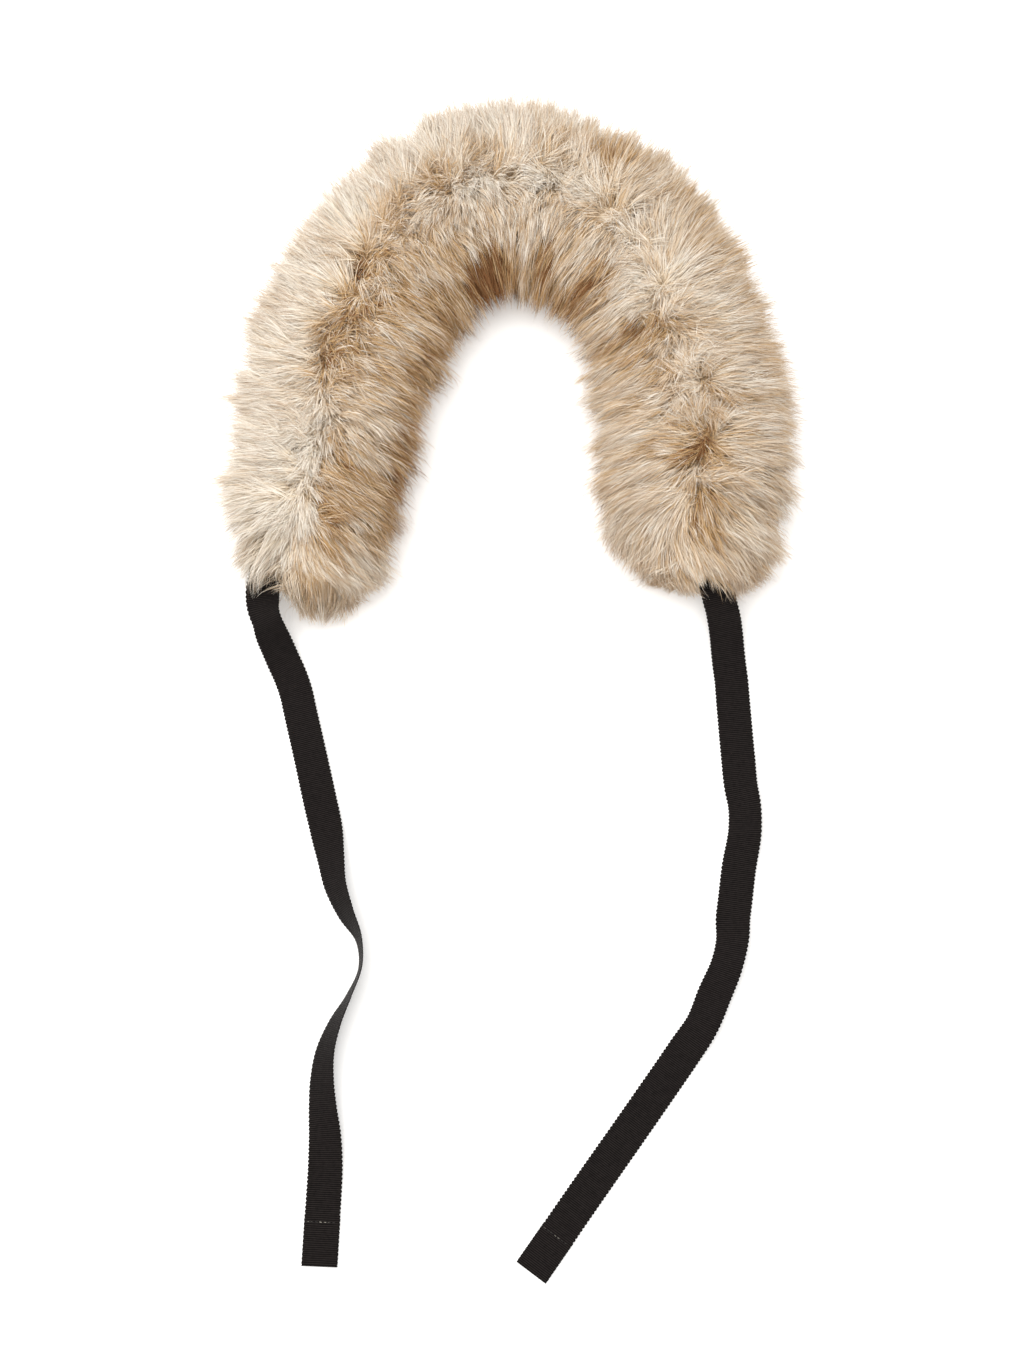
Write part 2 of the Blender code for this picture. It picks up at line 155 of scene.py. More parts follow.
# Markings, with some painted light and shade: how much darker (or paler, below 0) the pile is about a
# place. The reaches are in places and in the measure of across.
MARKINGS_AND_PAINTED_SHADING = table(
    "place across reach_along reach_across tone",
    (1.8, 0.25, 1.3, 0.45, -0.19),
    (4.6, 0.75, 3.4, 0.4, -0.11),
    (8.2, 0.74, 1.3, 0.2, -0.13),
    (8.2, -0.1, 0.5, 0.3, -0.05),
    (6.1, 0.02, 0.5, 0.2, 0.1),
    (10.2, -0.18, 0.6, 0.25, 0.08),
    (3.8, -0.4, 0.6, 0.22, 0.09),
    (7, -0.33, 0.6, 0.15, 0.1),
    (17, 0.42, 0.6, 0.15, 0.12),
    # Painted shade: darker at the left end's bottom, where the upper panel ends over the under lobe.
    (-1, -0.32, 0.6, 0.18, 0.24),
    (16.15, 0, 0.24, 0.2, -0.26),
    (-0.5, 0.7, 1, 0.4, -0.19),
    (1, 0.72, 0.6, 0.2, -0.12),
    (-3.6, -0.6, 0.9, 0.27, 0.14),
    (-0.5, -0.6, 0.9, 0.16, 0.12),
    (0, -0.3, 2.2, 0.16, 0.11),
    (-2, 0.28, 0.9, 0.22, 0.3),
    (1.6, -0.35, 0.7, 0.22, 0.12),
    (2.6, -0.05, 0.6, 0.18, -0.14),
    (3, -0.6, 0.6, 0.25, -0.16),
    (1, -0.72, 0.6, 0.18, -0.13),
    (2.2, -0.92, 1.6, 0.12, 0.49),
    (5, -0.92, 2.2, 0.14, 0.46),
    (6.2, -0.85, 0.5, 0.2, 0.15),
    (7.8, -0.9, 0.8, 0.2, 1.08),
    (8.6, -0.85, 0.6, 0.2, 0.45),
    (10.2, -0.78, 0.4, 0.22, 0.5),
    (11.75, -0.72, 0.45, 0.25, 0.74),
    (10.9, -0.95, 1.6, 0.1, 0.33),
    (4.1, 0.12, 0.5, 0.13, 0.62),
    (5.7, 0.14, 0.6, 0.12, 0.78),
    # Painted light: paler along the top crest, against the shade between its standing locks.
    (9.3, 0.04, 1.5, 0.24, -0.18),
    (4.8, -0.12, 1.2, 0.28, 0.37),
    (7.6, 0.22, 0.9, 0.2, 0.18),
    (7.3, 0.42, 1.5, 0.11, 0.15),
    (5.8, -0.65, 1.1, 0.18, 0.1),
    (12.6, -0.52, 0.6, 0.25, -0.14),
    (6.4, 0.15, 0.9, 0.35, 0.13),
    (8.6, 0.3, 0.4, 0.2, 0.14),
    (5, -0.55, 3.6, 0.3, 0.17),
    (10.3, 0.68, 0.8, 0.14, 0.26),
    (12.6, 0.85, 1.6, 0.14, 0.12),
    (14.8, 0.85, 1, 0.15, 0.05),
    (13.4, -0.45, 0.22, 0.5, 0.57),
    (15.65, 0.02, 0.38, 0.24, 0.54),
    (15.6, -0.45, 0.25, 0.25, 0.16),
    (14.2, -0.45, 0.4, 0.25, 0.28),
    (16, -0.28, 0.35, 0.16, 0.2),
    (17.8, 0.08, 1.5, 0.24, 0.47),
    (15.2, 0.1, 0.5, 0.25, 0.2),
    (20.6, -0.6, 0.6, 0.2, 0.29),
    (18, -0.4, 1.2, 0.3, -0.08),
    (18.4, 0.74, 1.2, 0.22, -0.05),
    (12.2, -0.25, 1, 0.25, -0.06),
)
# Where the upper pile parts round a ribbon: the top of the gap, and how fast it opens downwards to its
# left and right side (millimetres down for each one aside) as far as reach.
PARTINGS = table(
    "x y fall_left fall_right reach_left reach_right",
    (-149.5, 57.5, 0.95, 4, 15, 5),
    (129, 52, 1.3, 1.6, 10, 10),
)
# Where the upper pile is drawn out: a spot on the plan, its reach, and how far the tips there are drawn.
TUFTS = table(
    "x y reach pull_x pull_y",
    (-170, 48, 8, 3, -12),
    (-186, 98, 13, -6, -2),
    (-45, 378, 38, -1.5, 5.5),
    (15, 382, 34, 0.5, 4.5),
)
# The line across the left end where cream hair meets tan: its places, and where across it lies.
CREAM_LINE = (
    (-0.6, 0.3),
    (0.35, 0.25),
    (0.65, 0),
    (1.1, -0.15),
    (1.7, -0.22),
    (2.1, -0.24),
    (2.5, -0.18),
    (2.9, -0.05),
)
# How much shorter the pile is worn at places along the wrap's outer and inner rim, so that its stray
# tips, which stand past the rest, reach the wrap's own edge.
TRIMS = (
    (-1, 1.5, 1.5),
    (0, 1.5, 1.5),
    (1.3, -3, 2),
    (2.5, 1, 1.5),
    (5, 1, 2.5),
    (6.8, 0.5, 4.5),
    (8.5, 2.5, 3.5),
    (9.5, 1, 5),
    (11.2, 1.5, 6),
    (12.6, 1, 5),
    (14, 3.5, 5.5),
    (15.8, 5.5, 7.5),
    (17.5, 8, 4),
    (19, 4, 3.5),
    (20.5, 4, 4.5),
)
# The pile's smooth unevenness: for each use, how strong it is (1 where that varies), the size of its
# features in millimetres, and its seed.
UNEVENNESS = {
    "along": (1, 21, 1),
    "across": (1, 19, 8),
    "fine_along": (1, 7, 2),
    "fine_across": (1, 7, 9),
    "lean": (0.3, 12, 3),
    "depth": (4.5 * MM, 13, 4),
    "fine_depth": (3 * MM, 6, 16),
    "clump": (0.5, 9, 13),
    "tone": (0.1, 22, 5),
    "fine_tone": (1, 7, 6),
    "dark_tips": (0.3, 18, 7),
    "tufts": (9 * MM, 11, 40),
    "small_tufts": (5 * MM, 5, 41),
    "under_along": (0.4, 21, 12),
    "under_lean": (0.3, 12, 9),
    "under_depth": (4 * MM, 11, 10),
    "under_clump": (0.5, 9, 14),
    "under_tone": (0.12, 12, 11),
}

# The ribbons' routes, as the solids have them: x and y of the ribbon's middle, its roll (the edge at
# +X up, in degrees), and the height of its lower edge. The first rows lie in the seam.
IN_SEAM = 20.15
LEFT_ROUTE = (
    (-157, 72, 0, IN_SEAM),
    (-159, 56, 0, IN_SEAM),
    (-161, 40, 0, IN_SEAM),
    (-160.6, 34.5, 6, IN_SEAM),
    (-159.6, 28.5, 19, 19),
    (-157.8, 22.5, 27, 17),
    (-155.4, 15.3, 16, 13),
    (-152.1, 8.1, 7, 7.5),
    (-148.7, 0.3, 4, 3),
    (-144.6, -8.5, 4, 0.6),
    (-141, -18, 5, 0),
    (-136.4, -36.2, 7, 0),
    (-129.8, -63, 7, 0),
    (-123.4, -90.1, 5, 0),
    (-118.9, -108.6, 13, 0),
    (-115.3, -126.8, 33, 0),
    (-112, -144.5, 46, 0),
    (-105, -162.2, 59, 0),
    (-96.3, -179, 76, 0),
    (-95, -196, 80, 0),
    (-101.8, -213.8, 76, 0),
    (-110.4, -231, 64, 0),
    (-116, -247.9, 53, 0),
    (-117.6, -264.8, 43, 0),
    (-116.9, -281.5, 33, 0),
    (-115.4, -298.2, 20, 0),
    (-115, -314.8, 9, 0),
    (-115.8, -337, 2, 0),
    (-117.4, -374.2, 0, 0),
)
RIGHT_ROUTE = (
    (124, 72, 0, IN_SEAM),
    (127.5, 56, 0, IN_SEAM),
    (131, 40, 0, IN_SEAM),
    (132.1, 35, 0, 20),
    (133.9, 28.5, 0, 18),
    (135.2, 22.5, 9, 14.5),
    (136.6, 15, 11, 9.5),
    (137.8, 7, 8, 5),
    (138.9, -1.5, 5, 2),
    (140.2, -11, 4, 0.3),
    (141.1, -26.6, 5, 0),
    (143.3, -63.3, 9, 0),
    (144.4, -81.8, 19, 0),
    (146.3, -95, 24, 0),
    (146.3, -108.7, 21, 0),
    (141.8, -135, 8, 0),
    (139.4, -152.6, 6, 0),
    (137.4, -166, 12, 0),
    (136.6, -178, 25, 0),
    (132.9, -193.5, 28, 0),
    (124.6, -213, 17, 0),
    (116.6, -231, 21, 0),
    (105.3, -247.7, 6, 0),
    (81, -281.5, 2, 0),
    (44.5, -331.4, 2, 0),
    (10.95, -377.75, 0, 0),
)
RIBBON_HALF = 11.0  # half the ribbon solids' width
SOLID_WALL = 1.0  # their thickness, whose middle the ribbons follow
HEM_LAYER = SOLID_WALL + 0.3  # from a ribbon's middle to its hem's
HEM_LENGTH = 28.0
HEM_RISE = 9.0  # over this length the ribbon climbs on top of its hem
HEM_FOLD = range(30, 181, 30)  # degrees round the fold where it is drawn
RIB_POINTS = 4  # cross edges to each rib
ACROSS_STEPS = (-1.0, -0.92, 0.0, 0.92, 1.0)  # long edges, as shares of half the width
WARP_THREADS = 56  # across the ribbon's width
STITCH_PITCH = 2.6
STITCH_REACH = 8.6  # the first stitch's distance from the ribbon's middle
STITCH_FROM_END = 25.0
STITCH_HALF = (0.95, 0.19, 0.16)  # half a stitch's length, width and height


def length_prop(name, description, millimetres):
    return FloatProperty(name=name, description=description, default=millimetres * MM, unit="LENGTH")


def share_prop(name, description, default):
    return FloatProperty(name=name, description=description, default=default, subtype="FACTOR")


def colour_prop(name, description, *default):
    return FloatVectorProperty(name=name, description=description, default=default, subtype="COLOR")


class FurSettings(bpy.types.PropertyGroup):
    lock_pitch: length_prop("Lock spacing", "How far apart the locks of hair grow", 3.5)
    lock_hairs: IntProperty(name="Hairs in a lock", description="Hairs that one lock holds", default=27)
    crest_locks: IntProperty(
        name="Crest locks", description="How many more locks grow along the crest", default=1330
    )
    underfur: share_prop("Underfur", "Share of short hairs between the long ones", 0.25)
    wisps: share_prop("Wisps", "Share of locks that stand out of the pile", 0.14)
    guard_hairs: share_prop("Guard hairs", "Share of thin hairs that stand out past their lock", 0.15)
    hair_width: length_prop("Hair width", "Widest part of a hair", 0.35)
    pile_depth: length_prop("Pile at the sides", "How far the pile stands out from the backing's edge", 24)
    lean: length_prop("Lean", "How far a hair's tip lies from its root", 17)
    clump: share_prop("Clumping", "How much a lock's tips draw together", 0.44)
    cream_tip: colour_prop("Cream tips", "Tips of the palest hair", 0.89, 0.845, 0.765)
    cream_root: colour_prop("Cream roots", "Roots of the palest hair", 0.80, 0.63, 0.41)
    tan_tip: colour_prop("Tan tips", "Tips of the hair halfway to dark", 0.62, 0.41, 0.20)
    tan_root: colour_prop("Tan roots", "Roots of the hair halfway to dark", 0.46, 0.275, 0.115)
    dark_tip: colour_prop("Dark tips", "Tips of the darkest hair", 0.20, 0.08, 0.03)
    dark_root: colour_prop("Dark roots", "Roots of the darkest hair", 0.10, 0.04, 0.015)


class RibbonSettings(bpy.types.PropertyGroup):
    width: length_prop("Width", "Width of the ribbon", 22)
    wall: length_prop("Thickness", "Thickness of the ribbon", 0.45)
    rib_pitch: length_prop("Rib spacing", "From one cross rib to the next", 1.25)
    rib_height: length_prop("Rib height", "How far a rib stands up", 0.19)
    picot_height: length_prop("Picot height", "How far the edge's loops stand out", 0.75)
    # The ribs' colour is the ribbon's black dye with painted light on each rib's crest; the groove colour
    # is painted shade between the ribs.
    colour: colour_prop("Colour", "Colour of the ribs", 0.021, 0.0172, 0.0163)
    groove_painted_shade: colour_prop("Grooves", "Colour between the ribs", 0.0006, 0.0005, 0.0005)


class StageSettings(bpy.types.PropertyGroup):
    aim_x: length_prop("Aim X", "Floor point at the middle of the view", -1.1)
    aim_y: length_prop("Aim Y", "Floor point at the middle of the view", -13.5)
    distance: length_prop("Distance", "From the camera to that point", 1224)
    tilt: FloatProperty(
        name="Tilt",
        description="Camera's tilt from straight down",
        default=math.radians(12.5),
        subtype="ANGLE",
    )
    lens: FloatProperty(name="Lens", description="Focal length in millimetres", default=50.0)


def smooth_through(rows, pitch, guide):
    """Rows between the given ones, on one smooth curve, about pitch apart at the guide columns.

    Returns the new rows, and for each the place that it has among the given rows, counted from 0.
    """
    rows = np.array(rows, float)
    steps = np.hypot(*np.diff(rows[:, guide], axis=0).T)
    slopes = np.gradient(rows, summed(steps), axis=0)
    made, places = [], []
    for i, step in enumerate(steps):
        count = max(1, round(step / pitch))
        t = (np.arange(count) / count)[:, None]
        start = (1 + 2 * t) * (1 - t) ** 2 * rows[i] + t * (1 - t) ** 2 * step * slopes[i]
        end = t * t * (3 - 2 * t) * rows[i + 1] + t * t * (t - 1) * step * slopes[i + 1]
        made.append(start + end)
        places.append(i + t[:, 0])
    return np.concatenate(made + [rows[-1:]]), np.concatenate(places + [[len(rows) - 1.0]])


def summed(steps):
    """How far along each point lies, for the steps from one to the next."""
    return np.concatenate([[0.0], np.cumsum(steps)])


def mixed(values, station):
    """Values at fractional stations. Past the ends the last step is carried on."""
    low = np.clip(np.floor(station).astype(int), 0, len(values) - 2)
    t = (station - low).reshape(-1, *[1] * (values.ndim - 1))
    return values[low] * (1 - t) + values[low + 1] * t


def at_places(rows, place):
    """A table's other columns at places between its rows, whose first column is the place."""
    at, *columns = zip(*rows)
    return [np.interp(place, at, column) for column in columns]


def eased(value, start, end):
    """0 at start and before, 1 from end on, and a smooth rise between them."""
    x = np.clip((value - start) / (end - start), 0.0, 1.0)
    return x * x * (3 - 2 * x)


def unit(vectors):
    return vectors / np.maximum(np.linalg.norm(vectors, axis=-1, keepdims=True), 1e-9)


class FurForm:
    """Where the wrap runs, and how far its pile reaches all round, felt from the solids with rays.

    A spot is a station along the wrap and an angle round it: 0 at the outer edge, a quarter turn at
    the top, half a turn at the inner edge, and on round the under side.
    """

    TOP_SIDE_DROP = 0.15  # how far past the seam, in radians, the upper pile's tips may hang
    BLUNT = 14.0 * MM  # where the wrap is narrower than this each way, hairs run straight on
    SEEN_PAST = 45.0 * MM  # a ray starts at least this far out
    LEAST_REACH = 2.0 * MM
    ROOM = 1.5  # a hair's spot has to lie this many times inside the wrap's half width
    END_SIDES = 0.3  # how much less the pile stands on past an end at its sides
    END_DROP = 0.25  # how fast it falls there

    def __init__(self):
        sections = LEFT_END + MAIN_SECTIONS + RIGHT_END
        rows, places = smooth_through(sections, STATION_PITCH, [2, 3])
        inner, outer = rows[:, 0:2] * MM, rows[:, 2:4] * MM
        self.place = places + 1 - len(LEFT_END)
        self.middle = (inner + outer) / 2
        self.half = np.hypot(*(outer - inner).T) / 2
        self.across = (outer - self.middle) / self.half[:, None]
        self.inner_step = np.hypot(*np.gradient(inner, axis=0).T)
        self.outer_step = np.hypot(*np.gradient(outer, axis=0).T)
        self.ahead = unit(np.gradient(self.middle, axis=0))
        wide = np.flatnonzero(self.half > self.BLUNT)
        self.blunt = float(wide[0]), float(wide[-1])
        self.reach = self.felt_reach()
        quarter = RAYS // 4
        self.top = self.reach[:, quarter - 1 : quarter + 1].mean(axis=1)

    def felt_reach(self):
        points, faces = [], []
        for name in ("fur_upper_panel", "fur_under_panel"):
            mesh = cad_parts[name].data
            faces += [[len(points) + i for i in p.vertices] for p in mesh.polygons]
            points += [v.co for v in mesh.vertices]
        tree = BVHTree.FromPolygons(points, faces)
        reach = np.zeros((len(self.middle), RAYS))
        for i in range(len(self.middle)):
            out = Vector((*self.across[i], 0.0))
            centre = Vector((*self.middle[i], SEAM_HEIGHT * MM))
            start = max(1.3 * self.half[i], self.SEEN_PAST)
            for j in range(RAYS):
                turn = (j + 0.5) * TAU / RAYS
                way = out * math.cos(turn) + Vector((0, 0, math.sin(turn)))
                found = tree.ray_cast(centre + way * start, -way)[3]
                reach[i, j] = start - found if found is not None else math.nan
        felt = ~np.isnan(reach)
        columns = np.arange(RAYS)
        for i in range(len(reach)):
            reach[i] = np.interp(columns, columns[felt[i]], reach[i, felt[i]], period=RAYS)
        return np.maximum(reach, 0.0)

    def station_at(self, place):
        return np.interp(place, self.place, np.arange(len(self.place)))

    def step(self, station, across):
        """Metres between two stations, at a share across the wrap."""
        inner, outer = mixed(self.inner_step, station), mixed(self.outer_step, station)
        return inner * (1 - across) / 2 + outer * (1 + across) / 2

    def point(self, station, out, up):
        plan = mixed(self.middle, station) + mixed(self.across, station) * out[:, None]
        return np.column_stack([plan, SEAM_HEIGHT * MM + up])

    def held_within(self, station, out):
        """Stations held back to where the wrap is wide enough for hairs this far from its middle."""
        wanted = self.ROOM * np.abs(out)
        count = len(self.half)
        left = np.maximum.accumulate(self.half[: count // 4])
        right = np.maximum.accumulate(self.half[::-1][: count // 4])
        least = np.interp(wanted, left, np.arange(len(left)), left=-1.5)
        most = count - 1 - np.interp(wanted, right, np.arange(len(right)), left=-1.5)
        return np.clip(station, least, most)

    def reach_at(self, station, turn):
        station = np.clip(station, 0.0, len(self.reach) - 1.0)
        column = turn / TAU * RAYS - 0.5
        left = np.floor(column).astype(int)
        t = column - left
        low = np.clip(np.floor(station).astype(int), 0, len(self.reach) - 2)
        s = station - low
        before, after = (
            self.reach[row, left % RAYS] * (1 - t) + self.reach[row, (left + 1) % RAYS] * t
            for row in (low, low + 1)
        )
        return before * (1 - s) + after * s

    def on_pile(self, station, angle, sunk):
        """A point sunk some way below the pile's reach."""
        held = np.clip(station, *self.blunt)
        rise = np.where(np.sin(angle) > 0, mixed(self.top, held), SEAM_HEIGHT * MM)
        turn = np.arctan2(rise * np.sin(angle), mixed(self.half, held) * np.cos(angle))
        reach = np.maximum(self.reach_at(held, turn) - sunk, self.LEAST_REACH)
        spots = self.point(held, reach * np.cos(turn), reach * np.sin(turn))
        standing = self.END_SIDES + (1 - self.END_SIDES) * np.abs(np.sin(turn))
        past = (station - held) * STATION_PITCH * MM * standing
        spots[:, 0:2] += mixed(self.ahead, held) * past[:, None]
        spots[:, 2] -= self.END_DROP * np.abs(past)
        return spots


class Backing:
    """The knitted backing: a flat tube inside the fur, whose two halves are sewn at their edges."""

    RISE, DROP = 19.0 * MM, 12.0 * MM
    FIRST_PLACE, LAST_PLACE = -1.5, 19.3
    END_ROUND = 12.0 * MM
    LEAST_HALF = 6.0 * MM
    END_RISE = 0.35  # how much of its height the very end keeps

    def __init__(self, form, pile_depth):
        self.form = form
        self.first = form.station_at(self.FIRST_PLACE)
        self.last = form.station_at(self.LAST_PLACE)
        steps = (form.inner_step + form.outer_step) / 2
        along = np.cumsum(steps) - steps[0]
        ends = np.interp([self.first, self.last], np.arange(len(form.half)), along)
        left = np.minimum(along - ends[0], ends[1] - along) / self.END_ROUND
        self.fullness = np.sqrt(1 - (1 - np.clip(left, 0.0, 1.0)) ** 2)
        self.half = np.maximum(form.half - pile_depth, self.LEAST_HALF)

    def oval(self, station, angle):
        full = mixed(self.fullness, station)
        rise = np.where(np.sin(angle) > 0, self.RISE, self.DROP)
        return mixed(self.half, station) * full, rise * (self.END_RISE + (1 - self.END_RISE) * full)

    def point(self, station, angle):
        half, rise = self.oval(station, angle)
        return self.form.point(station, half * np.cos(angle), rise * np.sin(angle))

    def normal(self, station, angle):
        half, rise = self.oval(station, angle)
        out = np.cos(angle) / np.maximum(half, MM)
        up = np.sin(angle) / np.maximum(rise, MM)
        size = np.hypot(out, up)
        plan = mixed(self.form.across, station) * (out / size)[:, None]
        return np.column_stack([plan, up / size])

    def across(self, station, angle):
        """Where a spot of the backing lies across the whole wrap, from -1 at the inner edge to 1."""
        return self.oval(station, angle)[0] * np.cos(angle) / mixed(self.form.half, station)

    def arc(self, station, angle):
        """Metres of the backing's surface for each radian of angle."""
        half, rise = self.oval(station, angle)
        return np.hypot(half * np.sin(angle), rise * np.cos(angle)) + MM


# ---------------------------------------------------------------------------------------- the pile

# Each lock's root and tip on the wrap, how far its tip is sunk below the pile's reach, how much it is
# drawn together, its tone, the share of its hairs that have dark tips, how fluffy it is, and whether
# it is short and tucked in at an end.
Locks = namedtuple("Locks", "station angle tip_station tip_angle sunk clump tone tipped fluff tucked")
LEFT_TONE, RIGHT_TONE = 0.11, 0.16  # how dark plain pile is on the wrap's left and right half
TAN_TONE = 0.204  # how much darker it is inside the cream line
DARKEST_UNEVEN = 0.8  # the tone from which hairs differ no further in tone
CREST_PLACES = 1.2, 16.6
BACK_PLACES, BACK_SHARE = (6.6, 9.6), 0.13  # where this share of the crest's own locks is held to grow
END_LOCKS = 45  # more locks at each end of each panel
TUCKED_LEAN = 0.55  # how far a tucked lock leans along the wrap, against the others
UNDER_SPACING = 1.85  # how much further apart the under panel's locks grow


def uneven(points, use):
    """Smooth noise about 0 at points, for one of the uses in UNEVENNESS."""
    much, size, seed = UNEVENNESS[use]
    shift = Vector((17.3 * seed, 5.1 * seed, 9.7 * seed))
    return much * np.array([noise.noise(Vector(p) / (size * MM) + shift) for p in points])


def nearness(place, across, row):
    """1 at a table row's own spot, fading to 0 past its reaches."""
    along, aside = (place - row.place) / row.reach_along, (across - row.across) / row.reach_across
    return np.exp(-(along**2 + aside**2))


def lock_roots(backing, start, end, pitch, rng):
    """Where locks grow: station and angle, evenly spread over part of the backing's round."""
    form = backing.form
    outer = np.cumsum(form.outer_step)
    counted = np.arange(len(outer))
    stations, angles = [], []
    fine = np.linspace(start, end, 200)  # angles close enough to measure the round by
    for row in np.arange(*np.interp([backing.first, backing.last], counted, outer), pitch):
        station = float(np.interp(row, outer, counted))
        arc = backing.arc(np.full(len(fine), station), fine)
        arc = np.cumsum(arc) * (end - start) / len(fine)
        count = max(1, int(arc[-1] / pitch))
        spots = (np.arange(count) + 0.5 + rng.uniform(-0.45, 0.45, count)) * arc[-1] / count
        angle = np.interp(spots, arc, fine)
        at = np.full(count, station)
        step = form.step(at, backing.across(at, angle))
        kept = rng.random(count) < np.clip(step / form.step(at[:1], np.array([1.0])), 0.0, 1.0)
        shift = rng.uniform(-0.5, 0.5, count) * pitch / step
        stations.append((station + shift)[kept])
        angles.append(angle[kept])
    return np.clip(np.concatenate(stations), backing.first, backing.last), np.concatenate(angles)


def crest_roots(backing, count, rng):
    """Where more locks grow along the crest, so that the pile stays thick where it parts."""
    form = backing.form
    place = rng.uniform(*CREST_PLACES, count)
    place = np.where(rng.random(count) < BACK_SHARE, rng.uniform(*BACK_PLACES, count), place)
    station = form.station_at(place)
    crest = at_places(COMBING, place)[0]
    out = crest * mixed(form.half, station) + rng.normal(0, 9 * MM, count)
    return station, np.arccos(np.clip(out / mixed(backing.half, station), -0.9, 0.9))


def end_roots(backing, start, end, rng):
    """Where more locks grow round both ends, so that no backing shows between the panels."""
    deep = rng.uniform(0.0, 9 * MM, 2 * END_LOCKS)
    deep /= backing.form.step(backing.first, 0.0)
    left, right = backing.first + deep[:END_LOCKS], backing.last - deep[END_LOCKS:]
    return np.concatenate([left, right]), rng.uniform(start, end, 2 * END_LOCKS)


def joined_roots(backing, *groups):
    """All groups' stations and angles, with their points, shares across and places.

    The last group, which grows at the ends, is the one that is marked as tucked.
    """
    station, angle = (np.concatenate(group) for group in zip(*groups))
    tucked = np.arange(len(station)) >= len(station) - 2 * END_LOCKS
    points, across = backing.point(station, angle), backing.across(station, angle)
    return station, angle, points, across, mixed(backing.form.place, station), tucked


def comb(form, station, across):
    """Which way the pile lies at each lock: a vector along and across the wrap, up to about 1 long."""
    half = mixed(form.half, np.clip(station, 0, len(form.half) - 1))
    crest, band, inner, outer = at_places(COMBING, mixed(form.place, station))
    from_crest = (across - crest) * half
    way_across = np.tanh(from_crest / (band * MM))
    to_outer = eased(from_crest, -25 * MM, 25 * MM)
    way_along = inner * (1 - to_outer) + outer * to_outer
    for whorl in WHORLS:
        along = (station - form.station_at(whorl.place)) * form.step(station, across)
        aside = (across - whorl.across) * half
        away = np.hypot(along, aside)
        pull = np.exp(-((away / (whorl.reach * MM)) ** 2)) * np.minimum(1.0, away / (10 * MM))
        along, aside = along / np.maximum(away, 1e-6), aside / np.maximum(away, 1e-6)
        way_along += pull * (whorl.radial * along - whorl.swirl * aside)
        way_across += pull * (whorl.radial * aside + whorl.swirl * along)
    return way_along, way_across


def held_between(along, aside, least):
    """Ways from least to 1 long."""
    size = np.maximum(np.hypot(along, aside), 1e-6)
    wanted = np.clip(size, least, 1.0)
    return along / size * wanted, aside / size * wanted


def tone_at(place, across):
    """How dark the pile is, from 0 for cream to 1 for dark brown, before its own unevenness."""
    tone = LEFT_TONE + (RIGHT_TONE - LEFT_TONE) * eased(place, 7, 12)
    # The markings, with the painted shade and light among them.
    for mark_or_painted_shading in MARKINGS_AND_PAINTED_SHADING:
        tone = tone + mark_or_painted_shading.tone * nearness(place, across, mark_or_painted_shading)
    inside = at_places(CREAM_LINE, place)[0] - across
    left_end = eased(place, -1.2, -0.4) * eased(place, 3.2, 2.6)
    tan = left_end * eased(inside, -0.05, 0.05) * np.exp(-((inside / 0.9) ** 2))
    return tone + TAN_TONE * tan


def frizz_at(place, across):
    return sum(row.much * nearness(place, across, row) for row in FRIZZ)


def at_ends(place):
    """How far a place belongs to the wrap's ends, where the pile hangs along it: 0 to 1."""
    return eased(place, 1.6, -0.8) + eased(place, 15.8, 18.0)


def tufts_at(form, station, angle):
    """How far the pile stands back between the tufts round its rim, alike for both panels."""
    spots = form.on_pile(station, angle, np.zeros(len(station)))
    spots[:, 2] = 0.0
    depth = uneven(spots, "tufts") + uneven(spots, "small_tufts")
    place = mixed(form.place, station)
    outer = np.cos(angle) > 0
    # The outer rim's tufts stand closest together round place 6.9, and are ragged from place 15 on.
    smooth = np.exp(-(((place - 6.9) / 1.9) ** 2)) * outer
    ragged = eased(place, 13, 15) * outer
    at_outer, at_inner = at_places(TRIMS, place)
    depth = depth * (1 - 0.65 * smooth + 0.35 * ragged) + np.where(outer, at_outer, at_inner) * MM
    return depth * np.abs(np.cos(angle)) ** 3


